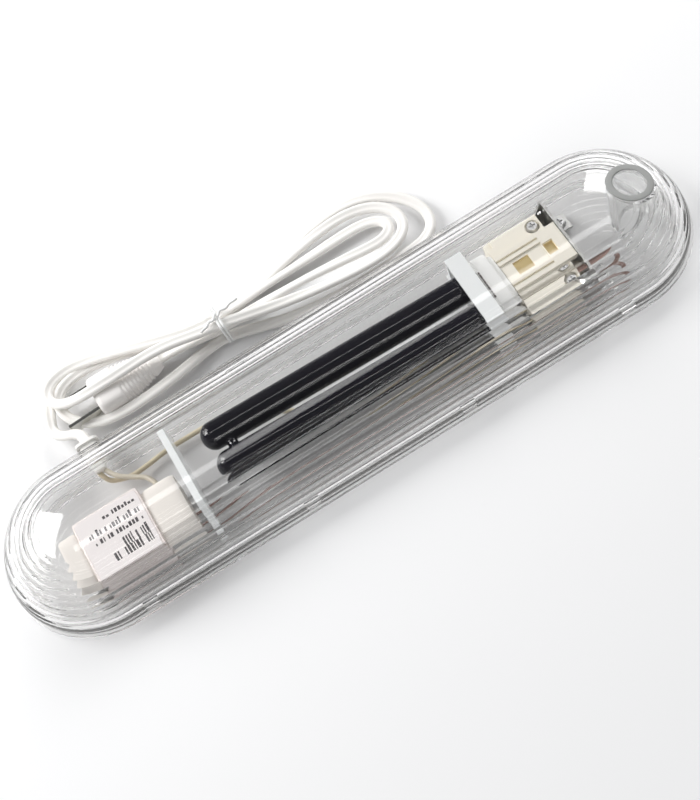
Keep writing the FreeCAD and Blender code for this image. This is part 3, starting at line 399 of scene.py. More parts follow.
def finish(name, colour, tint, roughness, spread=0.1, clouds=(60.0, 0.4), grain=(2500.0, 0.1),
           stretch=(1, 1, 1), **sockets):
    """A material of the moulding group and a Principled shader; sockets are the shader's own constants."""
    if name in bpy.data.materials:
        return bpy.data.materials[name]
    material = bpy.data.materials.new(name)
    material.use_nodes = True
    tree = material.node_tree
    shader = tree.nodes["Principled BSDF"]
    effect = tree.nodes.new("ShaderNodeGroup")
    effect.name = "Moulding"
    effect.node_tree = moulding_group()
    given = {
        "Color": (*colour, 1), "Tint": (*tint, 1), "Cloud Scale": clouds[0], "Cloud Amount": clouds[1],
        "Roughness": roughness, "Spread": spread, "Grain Scale": grain[0], "Grain Depth": grain[1],
        "Stretch": stretch,
    }
    for label, value in given.items():
        effect.inputs[label].default_value = value
    for output, label in (("Color", "Base Color"), ("Roughness", "Roughness"), ("Normal", "Normal")):
        tree.links.new(effect.outputs[output], shader.inputs[label])
    for label, value in sockets.items():
        shader.inputs[label.replace("_", " ")].default_value = value
    return material


def let_light_through(material, share):
    """Shadow rays pass a clear piece by this share and scattered light passes it straight, so that what it
    holds is lit as behind thin plastic."""
    tree = material.node_tree
    if "Passing" in tree.nodes:
        return material
    path = tree.nodes.new("ShaderNodeLightPath")
    shadow = tree.nodes.new("ShaderNodeMath")
    shadow.operation = "MULTIPLY_ADD"
    shadow.inputs[1].default_value = -share
    shadow.inputs[2].default_value = 1.0
    passing = tree.nodes.new("ShaderNodeMath")
    passing.name = "Passing"
    passing.operation = "SUBTRACT"
    passing.use_clamp = True
    tree.links.new(path.outputs["Is Shadow Ray"], shadow.inputs[0])
    tree.links.new(shadow.outputs[0], passing.inputs[0])
    tree.links.new(path.outputs["Is Diffuse Ray"], passing.inputs[1])
    tree.links.new(passing.outputs[0], tree.nodes["Principled BSDF"].inputs["Alpha"])
    return material


def clear_plastic(name, tint, roughness, share, clear):
    """Clear moulding: clear is the shader's transmission, share is how much of a shadow ray passes."""
    paler = tuple(min(1.0, c * 1.02) for c in tint)
    material = finish(name, tint, paler, roughness, 0.03, (25.0, 0.6), (400.0, 0.004),
                      Transmission_Weight=clear, IOR=1.46)
    return let_light_through(material, share)


def metal(name, colour, tint, roughness, **more):
    """The same finish on bare or plated metal."""
    return finish(name, colour, tint, roughness, Metallic=1.0, **more)


def paint(node, material):
    """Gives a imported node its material."""
    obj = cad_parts[node]
    for slot in obj.material_slots:
        slot.material = material
    return obj


def darker(colour, share):
    """The colour with each channel multiplied by the share."""
    return tuple(c * share for c in colour)


# ------------------------------------------------------------------ clear case


def cover_profile(s):
    """Outside from the crown down over the flutes to the rim, then the inside back up to the crown.
    Outside: (R cos a, seam + H sin a) pushed out by 4 b u (1 - u) within each flute. Inside: the same
    oval, a wall less."""
    radius = float(COVER_HIGH[1])
    rise = CROWN - SEAM
    first, last = 4.0, 64.0
    crown = np.linspace(90.0, last, 22, endpoint=False)
    fluted = np.linspace(last, first, s.flute_count * 8 + 1)
    degrees = np.concatenate([crown, fluted, [0.0]])
    u = (degrees - first) / (last - first) * s.flute_count
    inside_flutes = (degrees >= first) & (degrees <= last)
    u = np.where(inside_flutes, u - np.floor(u + 1e-9), 0.0)
    push = 4 * s.flute_bulge * u * (1 - u)
    a = np.radians(degrees)
    foot = radius - 0.1 * MM
    r, z = foot * np.cos(a), SEAM + rise * np.sin(a)
    out = np.stack([rise * np.cos(a), foot * np.sin(a)], -1)
    out /= np.linalg.norm(out, axis=1, keepdims=True)
    outside = np.stack([r, z], -1) + push[:, None] * out
    outside[0, 0] = 0.0
    a = np.radians(np.linspace(0.0, 90.0, 40))
    inside = np.stack([(foot - s.wall) * np.cos(a), SEAM + (rise - s.wall) * np.sin(a)], -1)
    inside[-1, 0] = 0.0
    return np.concatenate([outside, inside])


def softened(corners, radii, steps=4):
    """A polyline with each inner corner rounded by a parabola that leaves the sides where an arc of the
    given radius would."""
    corners = np.asarray(corners, float)
    points = [corners[0]]
    for before, corner, after, radius in zip(corners, corners[1:], corners[2:], radii):
        a, b = before - corner, after - corner
        la, lb = np.linalg.norm(a), np.linalg.norm(b)
        a, b = a / la, b / lb
        half = math.acos(float(np.clip(a @ b, -1, 1))) / 2
        reach = min(radius / math.tan(half), 0.45 * la, 0.45 * lb)
        t = np.linspace(0, 1, steps + 1)[:, None]
        start, stop = corner + a * reach, corner + b * reach
        points += list((1 - t) ** 2 * start + 2 * t * (1 - t) * corner + t**2 * stop)
    points.append(corners[-1])
    return np.array(points)


def tray_profile(s):
    """Underside, rounded side, flange, locating lip, floor and the low curb, back to the middle."""
    wall_r = FLANGE_RADIUS - 1.2 * MM
    under = SEAM - 2.0 * MM
    lip_out = wall_r - 2.35 * MM
    lip_in = lip_out - 1.2 * MM
    lip_top = min(float(TRAY_HIGH[2]) - 0.2 * MM, SEAM + 2.2 * MM)
    curb_in, curb_out, curb_top = 27.0 * MM, 28.5 * MM, 8.0 * MM
    corners = [
        (0, 0), (wall_r - 4.5 * MM, 0), (wall_r - 1.0 * MM, under - 1.0 * MM), (wall_r - 1.0 * MM, under),
        (FLANGE_RADIUS, under), (FLANGE_RADIUS, SEAM), (lip_out, SEAM), (lip_out, lip_top),
        (lip_in, lip_top), (lip_in, s.floor), (curb_out, s.floor), (curb_out, curb_top),
        (curb_in, curb_top), (curb_in, s.floor), (0, s.floor),
    ]
    radii = [x * MM for x in (2.5, 1.5, 0.2, 0.4, 0.4, 0.1, 0.3, 0.3, 0.8, 0.6, 0.4, 0.4, 0.6)]
    return softened(corners, radii)


def build_catches(clear):
    """The catches along both long sides: low blocks that stand on the flange, softened at both ends."""
    marks = []
    wide, tall, deep = 3.0 * MM, 1.2 * MM, 0.8 * MM
    along = np.array([-1.0, -0.9, 0.9, 1.0]) * wide
    swell = np.array([0.86, 1.0, 1.0, 0.86])
    for side in (1, -1):
        y = side * (FLANGE_RADIUS - 1.2 * MM - deep)
        for x in CATCH_PLACES:
            rows = [(x + d, y, SEAM + tall, k * deep, k * tall) for d, k in zip(along, swell)]
            marks.append(lofted(rows, 20, 6.0))
    piece("tray_catches", joined(*marks), "housing", clear)


def build_case(context):
    """Cover and tray as profiles carried round the capsule, less the sleeve's bore, the gland's mouth and
    the notches over the catches."""
    s = context.scene.lamp_unit_case
    clear = clear_plastic("clear_cover", tuple(s.tint), roughness=0.01, share=0.94, clear=1.0)
    tray_clear = clear_plastic("clear_tray", darker(s.tint, 0.985), roughness=0.02, share=0.88, clear=0.93)
    cover = piece("cover", carried_round_capsule(cover_profile(s), END_X), "cover", clear,
                  ["cover_shell"], crease=50.0)
    half_mouth, half_notch = 4.6 * MM, 3.4 * MM
    notches = []
    for side in (1, -1):
        y = side * (FLANGE_RADIUS - 2.0 * MM)
        for x in CATCH_PLACES:
            notches.append(box_between((x - half_notch, y - 1.6 * MM, SEAM - 1 * MM),
                                       (x + half_notch, y + 1.6 * MM, SEAM + 2.8 * MM)))
    mouth = box_between((GLAND_X - half_mouth, 27 * MM, SEAM - 1 * MM),
                        (GLAND_X + half_mouth, 50 * MM, 14.4 * MM))
    above = 2 * CROWN
    bore = turned([(0, 0), (SLEEVE_RADIUS, 0), (SLEEVE_RADIUS, above), (0, above)], SLEEVE_X)
    hollowed(cover, [bore, mouth, *notches], 50.0)
    tray = piece("tray", carried_round_capsule(tray_profile(s), END_X), "housing", tray_clear,
                 ["tray_shell"], crease=40.0)
    well_radius, hole_radius = SLEEVE_RADIUS + 1.6 * MM, SLEEVE_RADIUS + 0.4 * MM
    well = turned([(0, s.floor), (well_radius, s.floor), (well_radius, CROWN), (0, CROWN)], SLEEVE_X)
    hole = turned([(0, -CROWN), (hole_radius, -CROWN), (hole_radius, CROWN), (0, CROWN)], SLEEVE_X)
    saddle = box_between((GLAND_X - half_mouth, 26 * MM, 6.4 * MM), (GLAND_X + half_mouth, 60 * MM, CROWN))
    hollowed(tray, [well, hole, saddle], 40.0)
    build_catches(tray_clear)


def build_sleeve(context):
    """The hanging sleeve: an outer and an inner wall under a rounded rim that leans with the case's end.
    The lean grows with the cube of the height, so the foot stays level."""
    s = context.scene.lamp_unit_case
    outer, inner = SLEEVE_RADIUS - 0.02 * MM, s.sleeve_bore
    foot = float(low("hanging_sleeve")[2])
    top = float(high("hanging_sleeve")[2]) - outer * math.tan(s.sleeve_slope)
    outside = np.stack([np.full(16, outer), np.linspace(foot, top - 1 * MM, 16)], -1)
    rim = softened([outside[-1], (outer, top), (inner, top), (inner, top - 1 * MM)], [0.6 * MM, 0.6 * MM], 5)
    inside = outside[::-1] * (inner / outer, 1.0)
    walls = np.concatenate([outside, rim, inside, outside[:1]])

    def leaned(x, y, z):
        share = np.clip((z - foot) / (top - foot), 0, 1) ** 3
        return z - share * x * math.tan(s.sleeve_slope)

    clear = clear_plastic("clear_sleeve", (0.95, 0.955, 0.95), roughness=0.08, share=0.85, clear=0.93)
    matt = finish("sleeve_rim", (0.34, 0.345, 0.335), (0.27, 0.275, 0.27), 0.42, 0.12, (160.0, 0.7),
                  (1400.0, 0.3))
    sleeve = piece("sleeve", turned(walls, SLEEVE_X, 0.0, 96, leaned), "cover", clear,
                   ["hanging_sleeve"], crease=45.0)
    sleeve.data.materials.append(matt)
    faces = sleeve.data.polygons
    centres = np.empty(3 * len(faces))
    faces.foreach_get("center", centres)
    x, _, z = centres.reshape(-1, 3).T
    below = top - (x - SLEEVE_X) * math.tan(s.sleeve_slope) - z
    faces.foreach_set("material_index", (below < 0.5 * MM).astype(np.int32))


def build_partition(context):
    """The partition is milky and the lamp's rest is clear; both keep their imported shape."""
    panel = finish("panel_plastic", (0.92, 0.93, 0.93), (0.84, 0.86, 0.86), 0.16, 0.08, (40.0, 0.5),
                   (900.0, 0.06), Transmission_Weight=0.4, IOR=1.46)
    paint("partition_panel", let_light_through(panel, 0.6))
    rest = finish("rest_plastic", (0.90, 0.91, 0.91), (0.82, 0.84, 0.84), 0.16, 0.08, (60.0, 0.5),
                  (1200.0, 0.08), Transmission_Weight=0.93, IOR=1.46)
    paint("lamp_rest", let_light_through(rest, 0.6))


# ------------------------------------------------------------------ lamp


def lamp_frame(s):
    """Matrix from the lamp's own frame (origin at the cap's rear face, tip towards -X) to the case's."""
    a, b = low("lamp_pin_far"), high("lamp_pin_far")
    radius = (b - a)[1] / 2
    face = (float(a[0] + radius * math.sin(s.tilt)), 0.0, float(b[2] - radius * math.cos(s.tilt)))
    return Matrix.Translation(face) @ Matrix.Rotation(s.tilt, 4, "Y")


def in_frame(surface, matrix):
    """A surface carried from the lamp's own frame to the case's."""
    points, faces = surface
    m = np.array(matrix)
    points = np.asarray(points, float).reshape(-1, 3)
    return points @ m[:3, :3].T + m[:3, 3], faces


def along_x(profile, y=0.0, z=0.0, steps=48):
    """Profile (radius, x) turned about a line along X through (y, z)."""
    t = np.linspace(0, 2 * math.pi, steps, endpoint=False)[:, None]
    r, x = np.asarray(profile, float).T
    points = np.stack([np.broadcast_to(x, (steps, len(x))), y + r * np.cos(t), z + r * np.sin(t)], -1)
    return points, grid_faces(steps, len(x), round_rows=True)


def tube_profile(radius, start, stop):
    """A glass tube: a domed, slightly flattened tip, then a straight barrel with a flat end."""
    t = np.radians(np.linspace(0, 90, 14))
    dome = np.stack([radius * np.sin(t), start + radius * (1 - np.cos(t)) * 0.92], -1)
    barrel = np.stack([np.full(12, radius), np.linspace(start + radius, stop - 0.2 * MM, 12)], -1)
    return np.concatenate([dome, barrel, [[0.0, stop - 0.2 * MM]]])


def build_lamp(context):
    """Two turned tubes and a waisted bridge between them, a lofted cap and post, and the cap's print as
    plain bars of uneven length."""
    s = context.scene.lamp_unit_lamp
    matrix = lamp_frame(s)
    glass = finish("filter_glass", tuple(s.glass), (0.012, 0.009, 0.022), 0.035, 0.02, (30.0, 0.5),
                   (300.0, 0.02), IOR=1.5, Specular_IOR_Level=0.55)
    cap_length, glass_length, half_pitch = 16.0 * MM, 129.0 * MM, 7.75 * MM
    start = -cap_length - glass_length
    for name, y in (("lamp_tube_far", half_pitch), ("lamp_tube_near", -half_pitch)):
        tube = along_x(tube_profile(s.tube_radius, start, -cap_length), y)
        piece(name + "_glass", in_frame(tube, matrix), "lamp", glass, [name])
    t = np.linspace(-1, 1, 15)
    waist = (2.4 + 0.9 * t**2) * MM
    half_gap = 3.2
    across = np.concatenate([[-half_gap], half_gap * t, [half_gap]]) * MM
    bridge = np.stack([np.concatenate([[0], waist, [0]]), across], -1)
    points, faces = along_x(bridge, 0, 0, 32)
    points = points[..., [1, 0, 2]] + np.array([start + 11.0 * MM, 0, 0])
    piece("lamp_bridge_glass", in_frame((points, faces), matrix), "lamp", glass,
          ["lamp_bridge"])
    white = finish("cap_plastic", tuple(s.cap), darker(s.cap, 0.9), 0.34, 0.12, (120.0, 0.5), (1800.0, 0.18))
    half_width, half_thick = 16.0 * MM, 7.75 * MM
    cap = [(-16.0, 0.93), (-15.5, 0.98), (-14.8, 1.0), (-9.6, 1.0), (-9.4, 0.975), (-8.9, 0.975), (-8.7, 1.0),
           (-3.0, 1.0), (-2.3, 0.985), (-2.0, 0.95), (-1.9, 0.86), (-0.3, 0.86), (0.0, 0.84)]
    stations = [(x * MM, 0, 0, half_width * k, half_thick * (k if k > 0.9 else k * 0.98)) for x, k in cap]
    piece("lamp_cap_moulding", in_frame(lofted(stations, 64, 3.6), matrix), "lamp", white,
          ["lamp_cap"])
    post = [(0.0, 0.97), (0.3, 1.0), (16.0, 1.0), (18.6, 0.94), (20.0, 0.82)]
    stations = [(x * MM, 0, 0, 6.5 * MM * k, 4.5 * MM * k) for x, k in post]
    piece("lamp_post_moulding", in_frame(lofted(stations, 48, 5.0), matrix), "lamp", white,
          ["lamp_post"])
    ink = finish("cap_print", (0.055, 0.04, 0.04), (0.12, 0.09, 0.09), 0.5)
    marks = []
    top = half_thick + PRINT_PROUD
    bar_width, space = 0.75 * MM, 0.35 * MM
    rng = np.random.default_rng(7)
    for x in np.arange(-13.9, -8.2, 1.15) * MM:
        y = -7.5 * MM
        while y < 7.0 * MM:
            wide = rng.uniform(0.7, 2.6) * MM
            marks.append(box_between((x, y, top - PRINT_DEPTH), (x + bar_width, y + wide, top)))
            y += wide + space
    piece("lamp_cap_print", in_frame(joined(*marks), matrix), "lamp", ink)
    brass = metal("pin_brass", (0.70, 0.62, 0.44), (0.60, 0.52, 0.36), 0.22)
    for name in ("lamp_pin_far", "lamp_pin_near"):
        paint(name, brass)


# ------------------------------------------------------------------ ballast

# Each row of bars on the plate: distance from its far edge, height and length, in millimetres.
PLATE_ROWS = ((3.6, 2.0, 15.0), (8.4, 3.2, 24.0), (12.7, 2.2, 22.0), (17.4, 3.6, 12.0), (23.0, 3.6, 19.0))


def build_ballast(context):
    """A core whose every other sheet is a little smaller, wrapped coil ends whose ridges alternate, and a
    plate with rows of plain bars."""
    s = context.scene.lamp_unit_ballast
    a, b = low("ballast_core"), high("ballast_core")
    count = int((b[2] - a[2]) / s.sheet)
    steps = np.repeat(np.arange(count + 1), 2)[1:-1] * (b[2] - a[2]) / count + a[2]
    inset = np.tile([0.0, 0.0, 0.14 * MM, 0.14 * MM], count)[: len(steps)]
    mid, half = (a + b) / 2, (b - a) / 2
    rows = [(z, mid[0], mid[1], half[0] - d, half[1] - d) for z, d in zip(steps, inset)]
    points, faces = lofted(rows, 56, 30.0)
    points = points[..., [1, 2, 0]]
    lacquer = finish("core_lacquer", (0.50, 0.43, 0.42), (0.30, 0.26, 0.26), 0.34, 0.2, (150.0, 0.8),
                     (1500.0, 0.2), Metallic=0.3)
    piece("core_laminations", (points, faces), "housing", lacquer, ["ballast_core"],
          crease=30.0)
    tape = finish("coil_tape", tuple(s.tape), darker(s.tape, 0.72), 0.45, 0.2, (90.0, 0.7), (700.0, 0.5))
    for name in ("ballast_coil_left", "ballast_coil_right"):
        a, b = low(name), high(name)
        mid, half = (a + b) / 2, (b - a) / 2
        t = np.linspace(-1, 1, 25)
        ridges = 1.0 - 0.012 * (np.arange(25) % 2) - 0.06 * np.abs(t) ** 6
        rows = [(mid[0] + half[0] * x, mid[1], mid[2], half[1] * k, half[2] * k) for x, k in zip(t, ridges)]
        piece(name + "_wrap", lofted(rows, 48, 5.0), "housing", tape, [name], crease=60.0)
    a, b = low("ballast_plate"), high("ballast_plate")
    paper = finish("plate_foil", tuple(s.paper), darker(s.paper, 0.93), 0.38, 0.1, (200.0, 0.5), (800.0, 0.1))
    mid, half = (a + b) / 2, (b - a) / 2
    rows = [(a[2], mid[0], mid[1], half[0], half[1]), (b[2], mid[0], mid[1], half[0], half[1])]
    points, faces = lofted(rows, 64, 24.0)
    piece("plate", (points[..., [1, 2, 0]], faces), "housing", paper, ["ballast_plate"])
    ink = finish("plate_ink", tuple(s.ink), darker(s.ink, 1.5), 0.5)
    rng = np.random.default_rng(4)
    bars = []
    top = b[2] + PRINT_PROUD
    for back, tall, run in PLATE_ROWS:
        y = b[1] - back * MM
        x = b[0] - 2.0 * MM
        stop = x - run * MM
        while x > stop:
            wide = rng.uniform(0.45, 1.25) * MM
            foot = y - tall * MM / 2
            head = foot + rng.choice([1.0, 0.7, 0.55]) * tall * MM
            bars.append(box_between((x - wide, foot, top - PRINT_DEPTH), (x, head, top)))
            x -= wide + rng.choice([0.5, 0.5, 1.6]) * MM
    piece("plate_bars", joined(*bars), "housing", ink)
    strip = metal("plated_strip", (0.55, 0.55, 0.54), (0.42, 0.42, 0.42), 0.3, spread=0.2,
                  clouds=(220.0, 0.7), grain=(900.0, 0.2), stretch=(0.15, 1, 1))
    paint("ballast_strip", strip)


# ------------------------------------------------------------------ holder, bracket, fasteners, leads


def build_holder(context):
    """The holder, its bracket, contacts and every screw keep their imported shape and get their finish."""
    s = context.scene.lamp_unit_holder
    cream = finish("holder_moulding", tuple(s.cream), darker(s.cream, 0.88), 0.36, 0.14, (140.0, 0.6),
                   (1600.0, 0.2))
    paint("holder_body", cream)
    steel = metal("bracket_steel", tuple(s.steel), darker(s.steel, 0.75), 0.24, spread=0.22,
                  clouds=(160.0, 0.7), grain=(1100.0, 0.25), stretch=(1, 0.12, 1))
    paint("holder_bracket", steel)
    brass = metal("contact_brass", (0.92, 0.62, 0.09), (0.66, 0.42, 0.06), 0.2, clouds=(300.0, 0.7))
    for name in ("holder_contact_front", "holder_contact_back"):
        paint(name, brass)
    screw = metal("screw_steel", (0.50, 0.50, 0.50), (0.36, 0.36, 0.37), 0.26, clouds=(500.0, 0.7))
    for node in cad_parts:
        if "_screw" in node:
            paint(node, screw)


def build_leads(context):
    """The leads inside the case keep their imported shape, in soft vinyl insulation."""
    colours = {
        "lead_neutral": (0.66, 0.58, 0.42),
        "lead_phase": (0.30, 0.19, 0.16),
        "lead_link": (0.60, 0.55, 0.45),
    }
    for node, colour in colours.items():
        vinyl = finish(node + "_vinyl", colour, darker(colour, 0.8), 0.4, 0.15, (200.0, 0.5), (2200.0, 0.15))
        paint(node, vinyl)


# ------------------------------------------------------------------ mains lead

# The stretch from the gland to the hank, in millimetres.
EXIT_ROUTE = (
    (-108.0, 42.5, 10.2), (-108.0, 46.6, 10.2), (-110.6, 50.2, 9.6), (-114.6, 52.4, 8.4),
    (-118.0, 55.6, 7.1), (-119.4, 60.2, 5.8), (-118.4, 65.4, 4.8),
)

# The hank, turn by turn: out past the tie to the right end, back past it to the left end.
OUTER_TURN = (
    (-116.6, 71.4, 3.8), (-113.8, 78.2, 2.9), (-107.0, 83.4, 2.4), (-96.0, 85.2, 2.2), (-83.0, 83.0, 2.2),
    (-69.0, 78.6, 2.2), (-54.0, 72.2, 2.4), (-41.0, 66.0, 2.6), (-31.8, 63.6, 2.7), (-20.0, 66.4, 2.5),
    (-5.0, 73.0, 2.2), (12.0, 79.0, 2.0), (30.0, 83.2, 2.0), (45.0, 83.8, 2.0), (57.0, 80.0, 2.0),
    (66.6, 72.4, 2.0), (72.4, 62.0, 2.2), (72.2, 51.8, 2.4), (65.6, 45.8, 2.6), (53.0, 44.2, 2.6),
    (36.0, 44.2, 2.4), (18.0, 44.8, 2.3), (0.0, 46.8, 2.2), (-16.0, 51.4, 2.4), (-31.8, 56.8, 2.7),
)
MIDDLE_TURN = (
    (-43.0, 55.6, 3.4), (-57.0, 52.2, 4.8), (-73.0, 49.6, 5.8), (-89.0, 49.0, 6.0), (-101.0, 51.6, 5.7),
    (-109.4, 58.6, 5.5), (-112.6, 67.4, 5.6), (-109.8, 75.2, 5.6), (-101.6, 79.0, 5.5), (-89.0, 78.8, 5.5),
    (-74.0, 75.0, 5.5), (-59.0, 69.8, 5.7), (-44.0, 64.8, 6.0), (-31.8, 63.4, 6.1), (-19.0, 65.0, 5.8),
    (-4.0, 69.4, 5.4), (13.0, 74.2, 5.0), (29.0, 77.2, 4.7), (42.4, 77.6, 4.5), (53.4, 74.0, 4.5),
    (60.6, 66.8, 4.6), (61.4, 58.0, 4.8), (56.0, 51.4, 5.2), (45.0, 48.2, 5.6), (30.0, 48.2, 6.2),
    (13.0, 49.8, 7.4), (-4.0, 52.2, 9.2), (-19.0, 54.8, 11.4), (-31.8, 57.2, 13.0),
)
INNER_TURN = (
    (-44.0, 59.0, 14.0), (-56.0, 61.0, 15.4), (-68.0, 61.6, 16.1), (-82.0, 61.0, 16.3), (-94.0, 61.2, 15.6),
    (-104.0, 62.6, 13.4), (-110.8, 66.4, 10.8), (-114.4, 72.0, 8.8), (-113.6, 78.0, 7.6), (-108.4, 82.2, 7.0),
    (-99.0, 83.0, 7.2), (-84.0, 78.4, 8.4), (-66.0, 71.4, 9.2), (-50.0, 65.8, 9.5), (-40.0, 63.8, 9.6),
    (-31.8, 63.4, 9.6), (-18.0, 64.6, 8.4), (-3.0, 66.4, 6.4), (14.0, 68.0, 4.4), (30.0, 69.2, 3.6),
    (42.0, 69.4, 3.6), (49.8, 67.8, 3.7), (54.6, 63.8, 4.1), (54.4, 58.8, 4.7), (49.4, 55.4, 5.4),
    (40.0, 55.0, 6.4), (26.0, 56.0, 7.6), (8.0, 57.0, 8.8), (-12.0, 57.4, 9.4), (-31.8, 57.2, 9.5),
)
PLUG_TAIL = ((-42.0, 59.0, 9.0), (-50.0, 60.8, 8.2), (-57.6, 61.9, 7.4), (-65.2, 62.4, 7.1))


def twin_ring(width, thickness, count=28):
    """Section of flat twin flex: an oval of two round cores with a shallow furrow between them."""
    t = np.linspace(0, 2 * math.pi, count, endpoint=False)
    side = width / 2 * np.sign(np.cos(t)) * np.abs(np.cos(t)) ** 0.8
    up = thickness / 2 * np.sign(np.sin(t)) * np.abs(np.sin(t)) ** 0.8
    furrow = 1 - 0.34 * np.exp(-((side / (0.13 * width)) ** 2))
    return np.stack([side, up * furrow], -1)


def build_mains_lead(context):
    """The whole lead in one piece, from the gland through the hank's turns to the plug's tail."""
    s = context.scene.lamp_unit_lead
    route = np.array([*EXIT_ROUTE, *OUTER_TURN, *MIDDLE_TURN, *INNER_TURN, *PLUG_TAIL]) * MM
    path = smooth_line(route, 8)
    run = np.concatenate([[0.0], np.cumsum(np.linalg.norm(np.diff(path, axis=0), axis=1))])
    lean = 0.30 * np.sin(run * 31.0) + 0.22 * np.sin(run * 83.0 + 1.0)
    calm = np.minimum(1.0, np.minimum(run, run[-1] - run) / (12 * MM))
    vinyl = finish("cord_vinyl", tuple(s.white), darker(s.white, 0.93), 0.33, 0.12, (70.0, 0.5),
                   (2600.0, 0.12), Subsurface_Weight=0.12, Subsurface_Scale=1.2 * MM)
    lead = piece("mains_lead", swept(path, twin_ring(s.width, s.thickness), lean * calm), "housing", vinyl,
                 ["mains_cord", "cord_hank"], crease=70.0)
    gland = build_gland()
    plug = build_plug()
    tie = build_tie()
    blades = [paint(n, metal("blade_nickel", (0.70, 0.69, 0.64), (0.58, 0.57, 0.52), 0.2))
              for n in ("plug_blade_far", "plug_blade_near")]


def build_gland():
    """Flat bushing: superellipse sections from a lip outside the wall to a sleeve that narrows inwards."""
    a, b = low("cord_gland"), high("cord_gland")
    mid = (a + b) / 2
    outer, lip = b[1], 2.0 * MM
    half_x, half_z = (b[0] - a[0]) / 2, (b[2] - a[2]) / 2
    rows = [(outer, 0.78, 0.7), (outer - 0.4 * MM, 0.98, 0.96), (outer - lip + 0.1 * MM, 1.0, 1.0),
            (outer - lip - 0.02 * MM, 0.76, 0.72), (outer - 9.6 * MM, 0.74, 0.7),
            (outer - 10.4 * MM, 0.62, 0.62), (a[1] + 0.3 * MM, 0.5, 0.56), (a[1], 0.44, 0.5)]
    rows = [(y, mid[0], mid[2], half_x * k, half_z * j) for y, k, j in rows]
    points, faces = lofted(rows, 40, 4.0)
    points = points[..., [1, 0, 2]]
    rubber = finish("gland_rubber", (0.80, 0.79, 0.77), (0.70, 0.69, 0.67), 0.5, 0.1, (150.0, 0.4),
                    (1500.0, 0.2))
    return piece("gland", (points, faces), "housing", rubber, ["cord_gland"])


def build_plug():
    """Flat plug: broad smooth nose, a waist ringed with grip ridges, a tapered tail over the lead."""
    a, b = low("plug_body"), high("plug_body")
    turn = math.radians(2.0)
    length = 33.0 * MM
    mid = (a + b) / 2
    half_w, half_t = 9.3 * MM, 6.8 * MM
    x = np.linspace(0, 1, 90)
    stops = [0, 0.02, 0.06, 0.34, 0.62, 0.80, 0.93, 1.0]
    width = np.interp(x, stops, [0.86, 0.95, 1.0, 0.98, 0.80, 0.62, 0.48, 0.40])
    thick = np.interp(x, stops, [0.84, 0.94, 1.0, 0.98, 0.86, 0.72, 0.58, 0.42])
    grip_from, grip_to, ridge_count, ridge_depth = 0.36, 0.86, 9, 0.08
    along = (x - grip_from) / (grip_to - grip_from)
    wave = 0.5 - 0.5 * np.cos(along * 2 * math.pi * ridge_count)
    ridge = ((x > grip_from) & (x < grip_to)) * wave * ridge_depth
    rows = np.stack([(x - 0.5) * length, 0 * x, 0 * x, half_w * (width - ridge),
                     half_t * (thick - ridge)], -1)
    points, faces = lofted(rows, 48, 4.2)
    spin = np.array(Matrix.Rotation(turn, 3, "Z"))
    points = points.reshape(-1, 3) @ spin.T + mid
    moulded = finish("plug_vinyl", (0.74, 0.69, 0.67), (0.66, 0.61, 0.59), 0.36, 0.12, (120.0, 0.5),
                     (1700.0, 0.15), Subsurface_Weight=0.08, Subsurface_Scale=1.5 * MM)
    return piece("plug", (points, faces), "housing", moulded, ["plug_body"], crease=75.0)


def build_tie():
    """Plastic-covered wire, in millimetres: two turns of the superellipse |y/a|^6 + |z/b|^6 = 1 round the
    hank's waist, and two tails twisted round each other by a fading wave."""
    t = np.linspace(0, 4 * math.pi, 120)
    c, w = np.cos(t), np.sin(t)
    reach = (np.abs(c) ** 6 + np.abs(w) ** 6) ** (-1 / 6)
    waist_x, waist_y, waist_z, top_z = -31.6, 60.3, 8.1, 16.4
    half_y, half_z = 7.0, 7.35
    x = waist_x + np.interp(t, [0, 4 * math.pi], [-1.5, 1.3])
    ring = np.stack([x, waist_y + half_y * c * reach, waist_z + half_z * w * reach], -1)
    twist = np.linspace(0, 1, 40)
    wave = 0.9 * np.exp(-2.0 * twist)
    knot = np.array([waist_x, waist_y, top_z])
    tails = []
    for phase, end in ((0.0, (-41.0, 56.4, 16.6)), (math.pi, (-20.0, 62.2, 16.6))):
        line = knot + (np.array(end) - knot) * twist[:, None]
        line[:, 1] += wave * np.cos(twist * 14 + phase)
        line[:, 2] += wave * 0.5 * np.sin(twist * 14 + phase)
        tails.append(line)
    white = finish("tie_plastic", (0.82, 0.82, 0.82), (0.7, 0.7, 0.71), 0.35, 0.1, (300.0, 0.4),
                   (2500.0, 0.1))
    parts = [swept(line * MM, round_ring(0.62 * MM, 12)) for line in [ring, *tails]]
    return piece("tie_wire", joined(*parts), "housing", white, ["cord_tie"])


# ------------------------------------------------------------------ camera and stage

CAMERA_AT = (-29.9 * MM, -336.6 * MM, 632.6 * MM)
CAMERA_LOOK = (math.radians(4.81), math.radians(62.01), math.radians(27.44))
CAMERA_LENS = 85.9


def build_camera(context):
    """Looks along (sin a cos e, cos a cos e, -sin e), then rolls about that line."""
    a, e, roll = CAMERA_LOOK
    forward = Vector((math.sin(a) * math.cos(e), math.cos(a) * math.cos(e), -math.sin(e)))
    right = Vector((math.cos(a), -math.sin(a), 0.0))
    down = forward.cross(right)
    image_right = right * math.cos(roll) + down * math.sin(roll)
    image_down = down * math.cos(roll) - right * math.sin(roll)
    basis = Matrix((image_right, -image_down, -forward)).transposed().to_4x4()
    data = bpy.data.cameras.new("camera")
    data.sensor_fit = "HORIZONTAL"
    data.sensor_width = 36.0
    data.lens = CAMERA_LENS
    data.clip_start = 0.01
    camera = bpy.data.objects.new("camera", data)
    camera.matrix_world = Matrix.Translation(CAMERA_AT) @ basis
    context.scene.collection.objects.link(camera)
    context.scene.camera = camera


